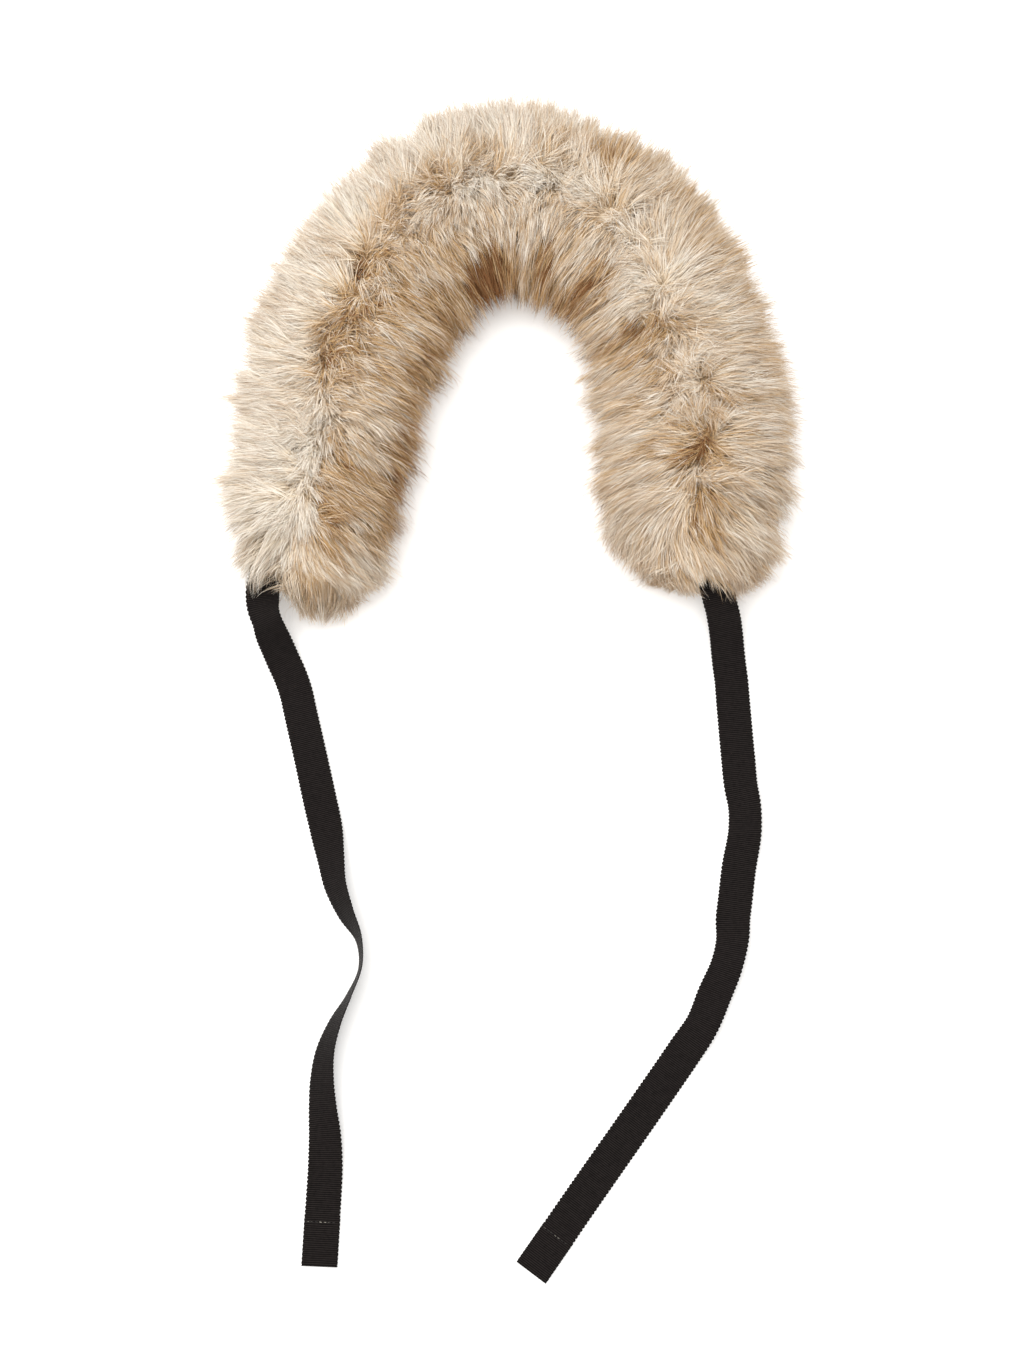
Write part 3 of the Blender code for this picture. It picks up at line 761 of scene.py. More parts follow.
def upper_locks(backing, settings, rng):
    form = backing.form
    groups = (
        lock_roots(backing, 0.0, math.pi, settings.lock_pitch, rng),
        crest_roots(backing, settings.crest_locks, rng),
        end_roots(backing, 0.0, math.pi, rng),
    )
    station, angle, points, across, place, tucked = joined_roots(backing, *groups)
    count = len(station)
    at_crest = np.repeat([False, True, False], [len(group[0]) for group in groups])

    # Frizzy pile is less combed, and more of it lies anyhow.
    frizz = np.maximum(frizz_at(place, across), 0.5 * at_crest)
    fluff = np.minimum(frizz, 1.0)
    combed = np.where(at_crest, 0.3, 1.0) * (1 - 0.4 * fluff)
    broad = 0.32 + 0.2 * frizz + 0.14 * eased(place, 9.5, 11.5)
    fine = 0.25 + 0.75 * frizz
    way_along, way_across = (
        combed * way + broad * uneven(points, use) + fine * uneven(points, "fine_" + use)
        for way, use in zip(comb(form, station, across), ("along", "across"))
    )
    way_along, way_across = held_between(way_along, way_across, 0.7)

    # The locks' tips: they hang further at the ends, most of all at their inner side.
    ends = at_ends(place)
    flowing = ends * (0.4 + 0.6 * eased(across, 0.5, 0.1))
    lean = settings.lean * (1 + 0.2 * ends + flowing * rng.uniform(-0.3, 1.0, count))
    lean = lean * (1 + uneven(points, "lean") + rng.normal(0, 0.12, count))
    half = mixed(form.half, station)
    arc = np.hypot(half * np.sin(angle), mixed(form.top, station) * np.cos(angle))
    tip_angle = angle - way_across * lean * np.sin(angle) ** 0.6 / arc
    tip_angle = np.clip(tip_angle, -form.TOP_SIDE_DROP, math.pi + form.TOP_SIDE_DROP)
    along = way_along * lean * np.where(tucked, TUCKED_LEAN, 1.0)
    tip_station = form.held_within(station + along / form.step(station, across), across * half)

    # How deep the tips lie. Wisps stand out of the pile, drawn to a point.
    sunk = uneven(points, "depth") + uneven(points, "fine_depth")
    sunk += np.where(tucked, rng.uniform(4 * MM, 12 * MM, count), 0.0)
    sunk += tufts_at(form, tip_station, tip_angle) + rng.normal(0, 1.5 * MM, count)
    clump = settings.clump * (1 + uneven(points, "clump")) * (1 - 0.6 * fluff)
    wisp = rng.random(count) < settings.wisps
    sunk[wisp] -= rng.uniform(1 * MM, 6 * MM, wisp.sum())
    clump[wisp] = 0.9

    # Darker pile is more uneven in its tone.
    tone = tone_at(mixed(form.place, tip_station), np.cos(tip_angle))
    much = 0.07 + 0.65 * np.clip(tone, 0.0, DARKEST_UNEVEN)
    tone = tone + uneven(points, "tone") + much * uneven(points, "fine_tone")
    tone += rng.normal(0, 0.3, count) * much
    tipped = np.clip(0.26 + uneven(points, "dark_tips"), 0.05, 0.6)
    tipped *= np.abs(np.cos(tip_angle)) ** 0.5
    return Locks(station, angle, tip_station, tip_angle, sunk, clump, tone, tipped, fluff, tucked)


def under_locks(backing, settings, rng):
    form = backing.form
    station, angle, points, across, place, tucked = joined_roots(
        backing,
        lock_roots(backing, math.pi, TAU, settings.lock_pitch * UNDER_SPACING, rng),
        end_roots(backing, math.pi, TAU, rng),
    )
    count = len(station)
    way_along = comb(form, station, across)[0] + uneven(points, "under_along")
    way_along = np.clip(way_along, -1.0, 1.0)
    lean = settings.lean * (1.1 + uneven(points, "under_lean"))
    lean *= 1 + 0.4 * at_ends(place)
    half = mixed(form.half, station)
    arc = np.hypot(half * np.sin(angle), SEAM_HEIGHT * MM * np.cos(angle))
    side = np.tanh(across / 0.2) * np.abs(np.sin(angle)) ** 0.5 * (1 - 0.5 * at_ends(place))
    tip_angle = np.clip(angle + side * lean / arc, math.pi + 0.02, TAU - 0.02)
    along = way_along * lean * np.where(tucked, TUCKED_LEAN, 1.0)
    tip_station = form.held_within(station + along / form.step(station, across), across * half)
    sunk = uneven(points, "under_depth") + rng.normal(0, 1.2 * MM, count)
    sunk += tufts_at(form, tip_station, tip_angle) + np.where(tucked, 5 * MM, 1 * MM)
    clump = settings.clump * (1 + uneven(points, "under_clump"))
    tone = tone_at(mixed(form.place, tip_station), np.cos(tip_angle))
    tone += 0.1 + uneven(points, "under_tone")
    tipped, fluff = np.full(count, 0.25), np.zeros(count)
    return Locks(station, angle, tip_station, tip_angle, sunk, clump, tone, tipped, fluff, tucked)


def parted(roots, tips, rng):
    """The upper pile's tips, drawn back where a ribbon comes out from under them."""
    tips = tips.copy()
    for gap in PARTINGS:
        aside = tips[:, 0] / MM - gap.x
        fall = np.where(aside < 0, -gap.fall_left, gap.fall_right) * aside
        edge = (gap.y - fall + rng.normal(0, 1.5, len(tips))) * MM
        inside = (aside > -gap.reach_left) & (aside < gap.reach_right) & (tips[:, 1] < edge)
        inside &= (tips[:, 1] > (gap.y - 45) * MM) & (roots[:, 1] > tips[:, 1])
        inside &= rng.random(len(tips)) < 0.93
        kept = (roots[:, 1] - edge) / np.maximum(roots[:, 1] - tips[:, 1], MM)
        kept = np.where(inside, np.clip(kept, 0.25, 1.0), 1.0)[:, None]
        tips = roots + (tips - roots) * kept
    return tips


def drawn_out(tips, rng):
    """The upper pile's tips, drawn out into tufts where its rim runs further."""
    tips = tips.copy()
    for tuft in TUFTS:
        away = np.hypot(tips[:, 0] / MM - tuft.x, tips[:, 1] / MM - tuft.y) / tuft.reach
        pull = np.exp(-(away**2)) * rng.uniform(0.3, 1.2, len(tips))
        tips[:, 0:2] += pull[:, None] * np.array([tuft.pull_x, tuft.pull_y]) * MM
    return tips


HIGHEST = 62.0 * MM  # above this a hair's tip is held down
LOWEST = 0.4 * MM
STREWN, GATHERED = 4.5 * MM, 1.3 * MM  # how far tips stray from their place in the lock
HAIR_ALONG = np.array([0.0, 0.36, 0.72, 1.0])  # where a hair's cross edges are, root to tip
HAIR_SWELL = np.array([0.0, 1.0, 0.8, 0.0])  # its width there: both ends run out to a point
HAIR_ROWS = [0, 1, 1, 2, 2, 3]  # which cross edge each of its six vertices lies on
HAIR_LOOPS = np.array([0, 2, 1, 1, 2, 4, 3, 3, 4, 5])  # its three faces' vertices
HAIR_STARTS = np.array([0, 3, 7])  # where each face starts among them


def hairs_of(backing, locks, settings, rng):
    """Each hair's points, its sideways direction and normal at each, its width and its tone.

    Whether its tip is dark and the station of its root come last.
    """
    form = backing.form
    locks = Locks(*(np.repeat(values, settings.lock_hairs) for values in locks))
    station, angle = locks.station, locks.angle
    n = len(station)
    step = form.step(station, backing.across(station, angle))
    backing_arc = backing.arc(station, angle)

    # The roots, spread round their lock's.
    spread = settings.lock_pitch * 0.6
    off = rng.normal(0, 1.0, (2, n))
    off_station = off[0] * spread / step
    upper = np.sin(angle) > 0
    root_station = np.clip(station + off_station, backing.first, backing.last)
    low, high = np.where(upper, 0.0, math.pi), np.where(upper, math.pi, TAU)
    root_angle = np.clip(angle + off[1] * spread / backing_arc, low, high)
    roots = backing.point(root_station, root_angle)
    normals = backing.normal(root_station, root_angle)

    # The tips, drawn together to the lock's, with some strewn further off.
    loose = 1 - locks.clump * np.clip(rng.normal(1.0, 0.2, n), 0.1, 1.3)
    strewn = rng.random(n) < 0.2 + 0.5 * locks.fluff
    stray = rng.normal(0, 1.0, (2, n)) * np.where(strewn, STREWN, GATHERED)
    tip_station = locks.tip_station + off_station * loose + stray[0] / step
    arc = np.hypot(mixed(form.half, station) * np.sin(angle), 30 * MM * np.cos(angle))
    tip_angle = locks.tip_angle + (root_angle - angle) * backing_arc / arc * loose + stray[1] / arc
    drop = 2 * form.TOP_SIDE_DROP
    tip_angle = np.where(upper, np.clip(tip_angle, -drop, math.pi + drop), tip_angle)

    # How deep they lie: hairs further from the lock's middle are shorter, and guard hairs longer.
    short = np.minimum(rng.exponential(0.8, n) + 0.8 * (off**2).sum(axis=0), 5.5)
    sunk = locks.sunk + 1.7 * MM * short - 1.8 * MM
    under = rng.random(n) < settings.underfur
    sunk += np.where(under, rng.uniform(3 * MM, 9 * MM, n), 0.0)
    rim = np.abs(np.cos(tip_angle)) ** 3
    guard = ~under & (rng.random(n) < settings.guard_hairs * (0.7 + 0.7 * rim))
    sunk -= np.where(guard, rng.uniform(1.5 * MM, 8 * MM, n) * (1 + 0.4 * rim), 0.0)
    tips = form.on_pile(tip_station, tip_angle, sunk)
    free = upper & ~locks.tucked
    tips = np.where(free[:, None], drawn_out(parted(roots, tips, rng), rng), tips)
    over = np.maximum(tips[:, 2] - HIGHEST, 0.0)
    tips[:, 2] -= over - 4 * MM * (1 - np.exp(-over / (4 * MM)))
    tips[:, 2] = np.maximum(tips[:, 2], LOWEST)

    # The line from root to tip, bowed outwards.
    length = np.linalg.norm(tips - roots, axis=1, keepdims=True)
    bow = roots + normals * length * 0.5 + (tips - roots) * 0.28
    bow += rng.normal(0, 0.7 * MM, (n, 3))
    bow[:, 2] = np.maximum(bow[:, 2], LOWEST)
    t = HAIR_ALONG[None, :, None]
    line = (1 - t) ** 2 * roots[:, None] + 2 * t * (1 - t) * bow[:, None] + t * t * tips[:, None]

    # Its flat faces outwards, give or take a twist, and is lit more as the whole pile would be.
    outward = unit(tips - form.point(tip_station, np.zeros(n), np.zeros(n)))
    outward = unit(outward + 0.6 * normals)[:, None]
    heading = unit(np.gradient(line, axis=1))
    side = unit(np.cross((tips - bow)[:, None], outward))
    side = unit(side - heading * (side * heading).sum(axis=2, keepdims=True))
    twist = rng.normal(0, math.radians(30), n)[:, None, None]
    side = side * np.cos(twist) + np.cross(heading, side) * np.sin(twist)
    facing = np.cross(side, heading)
    agreeing = np.clip(1.5 * (facing * outward).sum(axis=2, keepdims=True), 0.0, 1.0)
    lit = unit(facing + 1.5 * agreeing * outward)

    width = settings.hair_width * rng.uniform(0.7, 1.25, n)
    width *= np.where(guard, 0.7, 1 + 0.25 * locks.fluff)
    tone = locks.tone + 0.02 * short
    tone += rng.normal(0, 1.0, n) * (0.09 + 0.24 * np.clip(tone, 0.0, DARKEST_UNEVEN))
    tipped = rng.random(n) < np.where(guard, 0.75, locks.tipped)
    return line, side, lit, width, np.clip(tone, 0.02, 0.98), tipped, root_station


def hair_mesh(name, line, side, lit, width, tone, tipped):
    """One mesh of flat hairs, each a triangle, a four-sided face and a triangle from root to tip."""
    n = len(line)
    spans = side * (width[:, None] * HAIR_SWELL[None] / 2)[..., None]
    edges = np.stack([line - spans, line + spans], axis=2)[:, 1:3].reshape(n, 4, 3)
    points = np.concatenate([line[:, 0:1], edges, line[:, 3:4]], axis=1).reshape(-1, 3)
    counted = np.arange(n)[:, None]
    loops = (counted * len(HAIR_ROWS) + HAIR_LOOPS).ravel()
    starts = (counted * len(HAIR_LOOPS) + HAIR_STARTS).ravel()
    mesh = bpy.data.meshes.new(name)
    mesh.vertices.add(len(points))
    mesh.vertices.foreach_set("co", points.astype(np.float32).ravel())
    mesh.loops.add(len(loops))
    mesh.loops.foreach_set("vertex_index", loops.astype(np.int32))
    mesh.polygons.add(len(starts))
    mesh.polygons.foreach_set("loop_start", starts.astype(np.int32))
    # The map holds the tone across, plain hairs in its left half and dark-tipped ones in its right
    # half, and the way from root to tip upwards.
    centre = tone / 2 + 0.5 * tipped
    leaning = np.array([0, -1, 1, -1, 1, 0]) * 0.004
    across = (centre[:, None] + leaning)[:, HAIR_LOOPS]
    upwards = np.broadcast_to(HAIR_ALONG[HAIR_ROWS][HAIR_LOOPS], across.shape)
    layer = mesh.uv_layers.new(name="OFBake")
    layer.data.foreach_set("uv", np.stack([across, upwards], axis=2).astype(np.float32).ravel())
    mesh.update(calc_edges=True)
    mesh.shade_smooth()
    mesh.normals_split_custom_set_from_vertices(lit[:, HAIR_ROWS].reshape(-1, 3).tolist())
    return mesh


# ------------------------------------------------------------------------------- meshes and materials


def put_in_scene(name, mesh, material):
    mesh.materials.append(material)
    obj = bpy.data.objects.new(name, mesh)
    bpy.context.scene.collection.objects.link(obj)
    return obj


def finished(name, bm, material):
    """A smooth object in the scene from a bmesh that is done with."""
    mesh = bpy.data.meshes.new(name)
    bm.to_mesh(mesh)
    bm.free()
    mesh.shade_smooth()
    return put_in_scene(name, mesh, material)


def give_wall(obj, thickness, offset):
    wall = obj.modifiers.new("wall", "SOLIDIFY")
    wall.thickness = thickness
    wall.offset = offset


class Look:
    """A new material, with short ways to add nodes to it."""

    def __init__(self, name):
        self.material = bpy.data.materials.new(name)
        self.material.use_nodes = True
        self.tree = self.material.node_tree
        self.shader = self.tree.nodes["Principled BSDF"]

    def feed(self, node, inputs):
        """Link each input of a node to a socket, or set it to a colour or number."""
        for key, value in inputs.items():
            if isinstance(value, bpy.types.NodeSocket):
                self.tree.links.new(value, node.inputs[key])
            else:
                node.inputs[key].default_value = (*value, 1) if isinstance(value, tuple) else value

    def node(self, kind, inputs, output=0, **options):
        """A new node's output."""
        node = self.tree.nodes.new("ShaderNode" + kind)
        for key, value in options.items():
            setattr(node, key, value)
        self.feed(node, inputs)
        return node.outputs[output]

    def maths(self, operation, *values):
        return self.node("Math", dict(enumerate(values)), operation=operation)

    def map_parts(self):
        """The two ways of the piece's own map."""
        uv = self.node("UVMap", {}, uv_map="OFBake")
        across = self.node("SeparateXYZ", {0: uv})
        return across, across.node.outputs["Y"]

    def grain(self, kind, scale, **options):
        """The strength of a texture fixed to the piece."""
        spot = self.node("TexCoord", {}, "Object")
        return self.node(kind, {"Scale": scale, "Vector": spot}, "Fac", **options)

    def ramp(self, factor, *stops):
        out = self.node("ValToRGB", {"Fac": factor})
        elements = out.node.color_ramp.elements
        for i, (position, colour) in enumerate((stops[0], stops[-1])):
            elements[i].position, elements[i].color = position, (*colour, 1)
        for position, colour in stops[1:-1]:
            elements.new(position).color = (*colour, 1)
        return out

    def mix(self, factor, first, second):
        return self.node("Mix", {0: factor, 6: first, 7: second}, 2, data_type="RGBA")

    def bump(self, height, strength, distance):
        values = {"Height": height, "Strength": strength, "Distance": distance}
        self.feed(self.shader, {"Normal": self.node("Bump", values)})

    def finish(self, colour, roughness, **others):
        """Set the shader's colour, roughness and other inputs, whose names have _ for a space."""
        self.feed(self.shader, {"Base Color": colour, "Roughness": roughness})
        self.feed(self.shader, {key.replace("_", " "): value for key, value in others.items()})
        return self.material


def blended(first, second, share):
    return tuple(a * (1 - share) + b * share for a, b in zip(first, second))


def pile_material(settings):
    look = Look("long_pile")
    across, upwards = look.map_parts()
    tone = look.maths("FRACT", look.maths("MULTIPLY", across, 2.0))
    roots = [tuple(c) for c in (settings.cream_root, settings.tan_root, settings.dark_root)]
    tips = [tuple(c) for c in (settings.cream_tip, settings.tan_tip, settings.dark_tip)]
    root_colour, tip_colour = (look.ramp(tone, *zip((0.0, 0.5, 1.0), c)) for c in (roots, tips))
    rise = look.node("MapRange", {"From Max": 0.75, "Value": upwards})
    plain = look.mix(rise, root_colour, tip_colour)
    steep = {"From Min": 0.58, "From Max": 0.88, "To Max": 0.75, "Value": upwards}
    near_tip = look.node("MapRange", steep)
    dark = look.maths("MULTIPLY", look.maths("GREATER_THAN", across, 0.5), near_tip)
    colour = look.mix(dark, plain, blended(tips[2], tips[1], 0.3))
    return look.finish(colour, 0.62, Specular_IOR_Level=0.05)


def backing_material(settings):
    look = Look("knitted_backing")
    root, tip = tuple(settings.dark_root), tuple(settings.cream_root)
    knit = look.grain("TexNoise", 900.0)
    return look.finish(look.ramp(knit, (0.3, blended(root, tip, 0.82)), (0.7, tip)), 0.9)


def ribbon_material(settings):
    look = Look("grosgrain")
    across, along = look.map_parts()
    # Painted light and shade along the ribs: each crest takes the ribs' colour and each groove the painted
    # shade colour, varied by the slubs' noise.
    wave = look.maths("SINE", look.maths("MULTIPLY", along, 2 * TAU))
    crest = look.maths("MULTIPLY_ADD", wave, 0.5, 0.5)
    slubs = look.grain("TexNoise", 450.0)
    painted_rib_shade_and_slubs = look.maths("MULTIPLY", crest, look.maths("ADD", slubs, 0.45))
    threads = look.maths("SINE", look.maths("MULTIPLY", across, WARP_THREADS * TAU))
    look.bump(threads, 0.5, 0.06 * MM)
    return look.finish(
        look.mix(painted_rib_shade_and_slubs, tuple(settings.groove_painted_shade), tuple(settings.colour)),
        0.5,
        Specular_IOR_Level=0.03,
        Sheen_Weight=0.004,
        Sheen_Roughness=0.35,
    )


def thread_material():
    look = Look("sewing_thread")
    worn = look.grain("TexNoise", 260.0)
    look.bump(look.grain("TexWave", 1500.0, bands_direction="DIAGONAL"), 0.6, 0.04 * MM)
    colour = look.ramp(worn, (0.50, (0.014, 0.012, 0.011)), (0.68, (0.42, 0.39, 0.33)))
    return look.finish(colour, 0.6)


# ------------------------------------------------------------------------------------- the ribbons


def ribbon_frames(route, pitch):
    """Points along a ribbon's middle with its directions across and through, and its last heading."""
    rows, _ = smooth_through(route, pitch, [0, 1])
    heading = unit(np.gradient(rows[:, 0:2], axis=0))
    steps = np.hypot(*np.diff(rows[:, 0:2], axis=0).T)
    to_end = summed(steps[::-1])[::-1]
    turn = np.radians(rows[:, 2])
    side = np.column_stack([-heading[:, 1], heading[:, 0], np.zeros(len(rows))])
    up = np.array([0.0, 0.0, 1.0])
    climb = HEM_LAYER * eased(to_end, HEM_LENGTH + HEM_RISE, HEM_LENGTH)
    height = np.maximum(rows[:, 3], 0.0) + climb + RIBBON_HALF * np.abs(np.sin(turn))
    centre = np.column_stack([rows[:, 0:2], height + SOLID_WALL / 2 * np.cos(turn)])
    across = side * np.cos(turn)[:, None] + up * np.sin(turn)[:, None]
    through = up * np.cos(turn)[:, None] - side * np.sin(turn)[:, None]
    return centre, across, through, np.array([*heading[-1], 0.0])


def hem_frames(centre, across, through, forward, pitch):
    """The fold at a ribbon's end and the layer turned back under it."""
    centres, ups = [], []
    for degrees in HEM_FOLD:
        angle = math.radians(degrees)
        turned = forward * math.sin(angle) - through * (1 - math.cos(angle))
        centres.append(centre + turned * HEM_LAYER / 2)
        ups.append(through * math.cos(angle) + forward * math.sin(angle))
    folded = centres[-1]
    for back in np.arange(pitch, HEM_LENGTH, pitch):
        centres.append(folded - forward * back)
        ups.append(-through)
    return np.array(centres), np.tile(across, (len(centres), 1)), np.array(ups)


def make_ribbon(name, route, settings, material):
    """A ribbon with its ribs and edge loops, and its whole length in metres."""
    width, rib_pitch, rib_height, picot_height = (
        value / MM
        for value in (settings.width, settings.rib_pitch, settings.rib_height, settings.picot_height)
    )
    pitch = rib_pitch / RIB_POINTS
    centre, across, through, forward = ribbon_frames(route, pitch)
    hem = hem_frames(centre[-1], across[-1], through[-1], forward, pitch)
    centre, across, through = (np.concatenate(pair) for pair in zip((centre, across, through), hem))
    along = summed(np.linalg.norm(np.diff(centre, axis=0), axis=1))
    ribs = along / rib_pitch
    lift = rib_height * np.sin(TAU * ribs)
    picots = picot_height * np.abs(np.sin(math.pi * ribs / 2))

    bm = bmesh.new()
    layer_uv = bm.loops.layers.uv.new("OFBake")
    columns, rows = len(ACROSS_STEPS) - 1, len(centre) - 1
    bmesh.ops.create_grid(bm, x_segments=columns, y_segments=rows, size=1.0)
    found = (np.array([v.co for v in bm.verts]) + 1) / 2
    row = np.rint(found[:, 1] * rows).astype(int)
    share = np.array(ACROSS_STEPS)[np.rint(found[:, 0] * columns).astype(int)]
    at_edge = np.abs(share) > 0.99
    out = share * (width / 2 - picot_height) + np.sign(share) * np.where(at_edge, picots[row], 0.0)
    raised = lift[row] * np.where(at_edge, 0.3, 1.0)
    spots = centre[row] + across[row] * out[:, None] + through[row] * raised[:, None]
    for vert, spot in zip(bm.verts, spots * MM):
        vert.co = spot
    for face in bm.faces:
        first_rib = math.floor(ribs[min(row[vert.index] for vert in face.verts)])
        for loop in face.loops:
            i = loop.vert.index
            loop[layer_uv].uv = (share[i] / 2 + 0.5, (ribs[row[i]] - first_rib) / 2)
    bmesh.ops.recalc_face_normals(bm, faces=bm.faces)
    spot, way = Vector(centre[len(route)] * MM), Vector(through[len(route)])
    nearest = min(bm.faces, key=lambda face: (face.calc_center_median() - spot).length)
    if nearest.normal.dot(way) < 0:
        bmesh.ops.reverse_faces(bm, faces=bm.faces)
    obj = finished(name, bm, material)
    give_wall(obj, settings.wall, 0.0)
    return obj, float(along[-1]) * MM


def make_stitches(name, route, settings, material):
    """The row of thread that holds a hem: stitches across the ribbon's face and its under side."""
    centre, across, through, forward = ribbon_frames(route, 1.0)
    away = np.linalg.norm(centre - centre[-1], axis=1)
    spot = int(np.argmin(np.abs(away - STITCH_FROM_END)))
    half_wall = settings.wall / MM / 2
    up = Vector(through[spot])
    shape = Matrix.Diagonal((*STITCH_HALF, 1.0)) @ Matrix.Scale(MM, 4)
    bm = bmesh.new()
    for side, depth in ((1.0, half_wall + settings.rib_height / MM), (-1.0, HEM_LAYER + half_wall)):
        for out in np.arange(-STITCH_REACH, STITCH_REACH, STITCH_PITCH):
            skew = 0.12 * side * math.sin(out * 5.1)
            way = (Vector(across[spot]) + Vector(forward) * skew).normalized()
            turned = Matrix((way, up.cross(way), up)).transposed().to_4x4()
            place = centre[spot] + across[spot] * out + through[spot] * side * depth
            whole = Matrix.Translation(Vector(place) * MM) @ turned @ shape
            bmesh.ops.create_icosphere(bm, subdivisions=2, radius=1.0, matrix=whole)
    return finished(name, bm, material)


# --------------------------------------------------------------------------------------- operators

# Each pile's pieces, with the place that each starts at. Every piece ends where the next one starts.
PILE_PIECES = (
    ("pile_left_end", -9.0),
    ("pile_left_side", 2.6),
    ("pile_back", 6.4),
    ("pile_right_side", 10.3),
    ("pile_right_end", 14.4),
)
UNDER_PIECES = (("under_pile_left", -9.0), ("under_pile_right", 8.8))
BACKING_WALL = 1.2 * MM
BACKING_GRID = 100, 12  # its faces along the wrap, and across each panel
shared = {}  # the backing and its two objects, for the operators that grow pile on them


def backing_panel(name, backing, start, end, material):
    bm = bmesh.new()
    rows, columns = BACKING_GRID
    bmesh.ops.create_grid(bm, x_segments=columns, y_segments=rows, size=1.0)
    shares = (np.array([v.co for v in bm.verts]) + 1) / 2
    angle = start + shares[:, 0] * (end - start)
    station = backing.first + shares[:, 1] * (backing.last - backing.first)
    for vert, spot in zip(bm.verts, backing.point(station, angle)):
        vert.co = spot
    bmesh.ops.remove_doubles(bm, verts=bm.verts, dist=0.05 * MM)
    bmesh.ops.recalc_face_normals(bm, faces=bm.faces)
    obj = finished(name, bm, material)
    give_wall(obj, BACKING_WALL, -1.0)
    return obj


def dress(context, name, node, make_locks, seed, pieces):
    """Grow a panel's pile on its backing, and stand both in for its solid. One seed grows one pile."""
    settings, rng = context.scene.wrap_fur, np.random.default_rng(seed)
    backing, panel = shared["backing"], shared[name]
    *hair, station = hairs_of(backing, make_locks(backing, settings, rng), settings, rng)
    starts = [start for _, start in pieces]
    piece = np.searchsorted(starts, mixed(backing.form.place, station), "right") - 1
    material = bpy.data.materials.get("long_pile") or pile_material(settings)
    made = []
    for i, (title, _) in enumerate(pieces):
        mesh = hair_mesh(title, *(values[piece == i] for values in hair))
        made.append(put_in_scene(title, mesh, material))
    for obj in (*made, panel):
        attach(obj, "root")
    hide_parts(node)


class WRAP_OT_backing(bpy.types.Operator):
    """Build the knitted backings of both fur panels, sewn together at their edges"""

    bl_idname = "wrap.backing"
    bl_label = "Backings"

    def execute(self, context):
        settings = context.scene.wrap_fur
        backing = shared["backing"] = Backing(FurForm(), settings.pile_depth)
        material = backing_material(settings)
        for name, start, end in (("upper_backing", 0.0, math.pi), ("under_backing", math.pi, TAU)):
            shared[name] = backing_panel(name, backing, start, end, material)
        return {"FINISHED"}


class WRAP_OT_upper_pile(bpy.types.Operator):
    """Grow the upper panel's long pile in locks, combed away from its crest"""

    bl_idname = "wrap.upper_pile"
    bl_label = "Upper pile"

    def execute(self, context):
        dress(context, "upper_backing", "fur_upper_panel", upper_locks, 11, PILE_PIECES)
        return {"FINISHED"}


class WRAP_OT_under_pile(bpy.types.Operator):
    """Grow the under panel's pile, pressed flat beneath it and standing out at its rim"""

    bl_idname = "wrap.under_pile"
    bl_label = "Under pile"

    def execute(self, context):
        dress(context, "under_backing", "fur_under_panel", under_locks, 23, UNDER_PIECES)
        return {"FINISHED"}


class WRAP_OT_ribbons(bpy.types.Operator):
    """Weave the two grosgrain ribbons along their routes, each with its hem turned under"""

    bl_idname = "wrap.ribbons"
    bl_label = "Ribbons"

    def execute(self, context):
        settings = context.scene.wrap_ribbon
        material, thread = ribbon_material(settings), thread_material()
        for name, node, route in (
            ("left_ribbon", "ribbon_left", LEFT_ROUTE),
            ("right_ribbon", "ribbon_right", RIGHT_ROUTE),
        ):
            obj, length = make_ribbon(name, route, settings, material)
            stitches = make_stitches(name + "_stitches", route, settings, thread)
            for piece in (obj, stitches):
                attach(piece, "root")
            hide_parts(node)
        return {"FINISHED"}


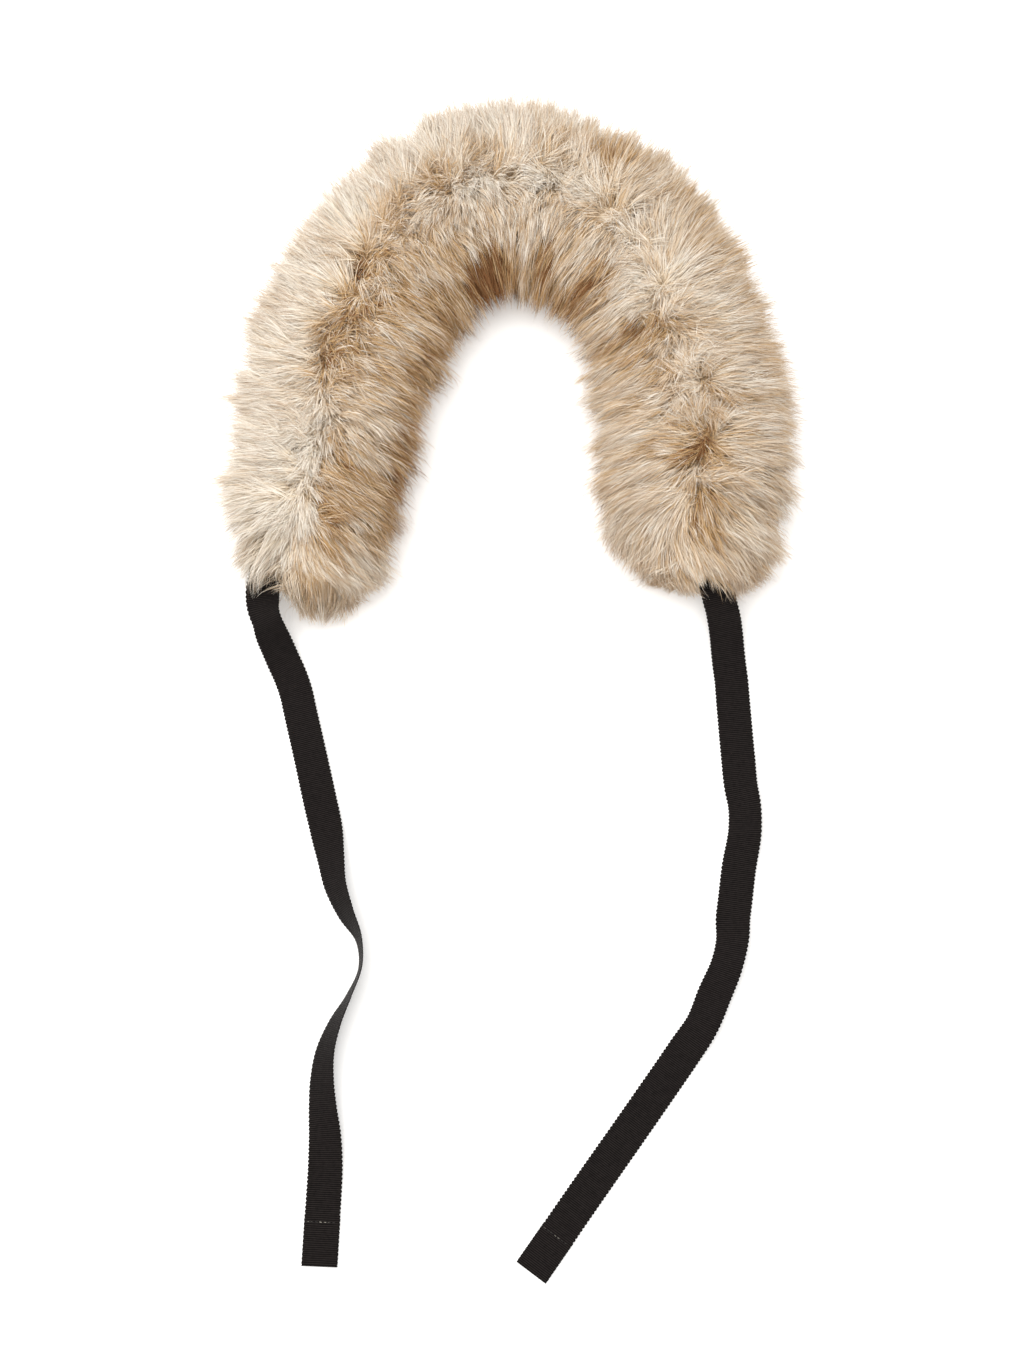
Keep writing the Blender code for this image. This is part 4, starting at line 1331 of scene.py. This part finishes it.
class WRAP_OT_stage(bpy.types.Operator):
    """Set the white floor, the soft light and the camera"""

    bl_idname = "wrap.stage"
    bl_label = "Stage"

    def execute(self, context):
        stage, scene = context.scene.wrap_stage, context.scene
        bm = bmesh.new()
        bmesh.ops.create_grid(bm, x_segments=1, y_segments=1, size=4.0)
        paper = Look("white_paper").finish(
            (0.98, 0.98, 0.98),
            0.9,
            Specular_IOR_Level=0.0,
            Emission_Color=(1.0, 0.985, 0.96),
            Emission_Strength=0.15,
        )
        finished("floor", bm, paper)

        scene.world = bpy.data.worlds.new("studio")
        scene.world.use_nodes = True
        sky = scene.world.node_tree.nodes["Background"].inputs
        sky["Color"].default_value = (1.0, 0.99, 0.975, 1)
        sky["Strength"].default_value = 0.91

        key = bpy.data.lights.new("key", "AREA")
        key.energy = 44.0
        key.size = 2.6
        key.color = (1.0, 0.985, 0.96)
        lamp = bpy.data.objects.new("key", key)
        lamp.location = (-0.55, 0.35, 2.0)
        aim = Vector((0, 0.05, 0)) - lamp.location
        lamp.rotation_euler = aim.to_track_quat("-Z", "Y").to_euler()
        scene.collection.objects.link(lamp)

        camera = bpy.data.cameras.new("camera")
        camera.lens = stage.lens
        camera.sensor_width = 36.0
        eye = bpy.data.objects.new("camera", camera)
        back = stage.distance * math.sin(stage.tilt)
        eye.location = (stage.aim_x, stage.aim_y - back, stage.distance * math.cos(stage.tilt))
        eye.rotation_euler = (stage.tilt, 0.0, 0.0)
        scene.collection.objects.link(eye)
        scene.camera = eye
        scene.view_settings.view_transform = "Standard"
        return {"FINISHED"}


class WRAP_PT_panel(bpy.types.Panel):
    """The wrap's pieces and their settings"""

    bl_idname = "WRAP_PT_panel"
    bl_label = "Fur collar wrap"
    bl_space_type = "VIEW_3D"
    bl_region_type = "UI"
    bl_category = "Fur Wrap"

    def draw(self, context):
        for operator in OPERATORS:
            self.layout.operator(operator.bl_idname)
        for group in SETTINGS:
            settings = getattr(context.scene, group)
            box = self.layout.box()
            for prop in settings.bl_rna.properties:
                if prop.identifier not in ("rna_type", "name"):
                    box.prop(settings, prop.identifier)


OPERATORS = (WRAP_OT_stage, WRAP_OT_backing, WRAP_OT_upper_pile, WRAP_OT_under_pile, WRAP_OT_ribbons)
SETTINGS = {"wrap_fur": FurSettings, "wrap_ribbon": RibbonSettings, "wrap_stage": StageSettings}
CLASSES = (*SETTINGS.values(), *OPERATORS, WRAP_PT_panel)


def register():
    for cls in CLASSES:
        bpy.utils.register_class(cls)
    for group, cls in SETTINGS.items():
        setattr(bpy.types.Scene, group, PointerProperty(type=cls))


def unregister():
    for group in SETTINGS:
        delattr(bpy.types.Scene, group)
    for cls in reversed(CLASSES):
        bpy.utils.unregister_class(cls)


def main():
    register()
    for operator in OPERATORS:
        group, name = operator.bl_idname.split(".")
        getattr(getattr(bpy.ops, group), name)()


if __name__ == "__main__":
    main()
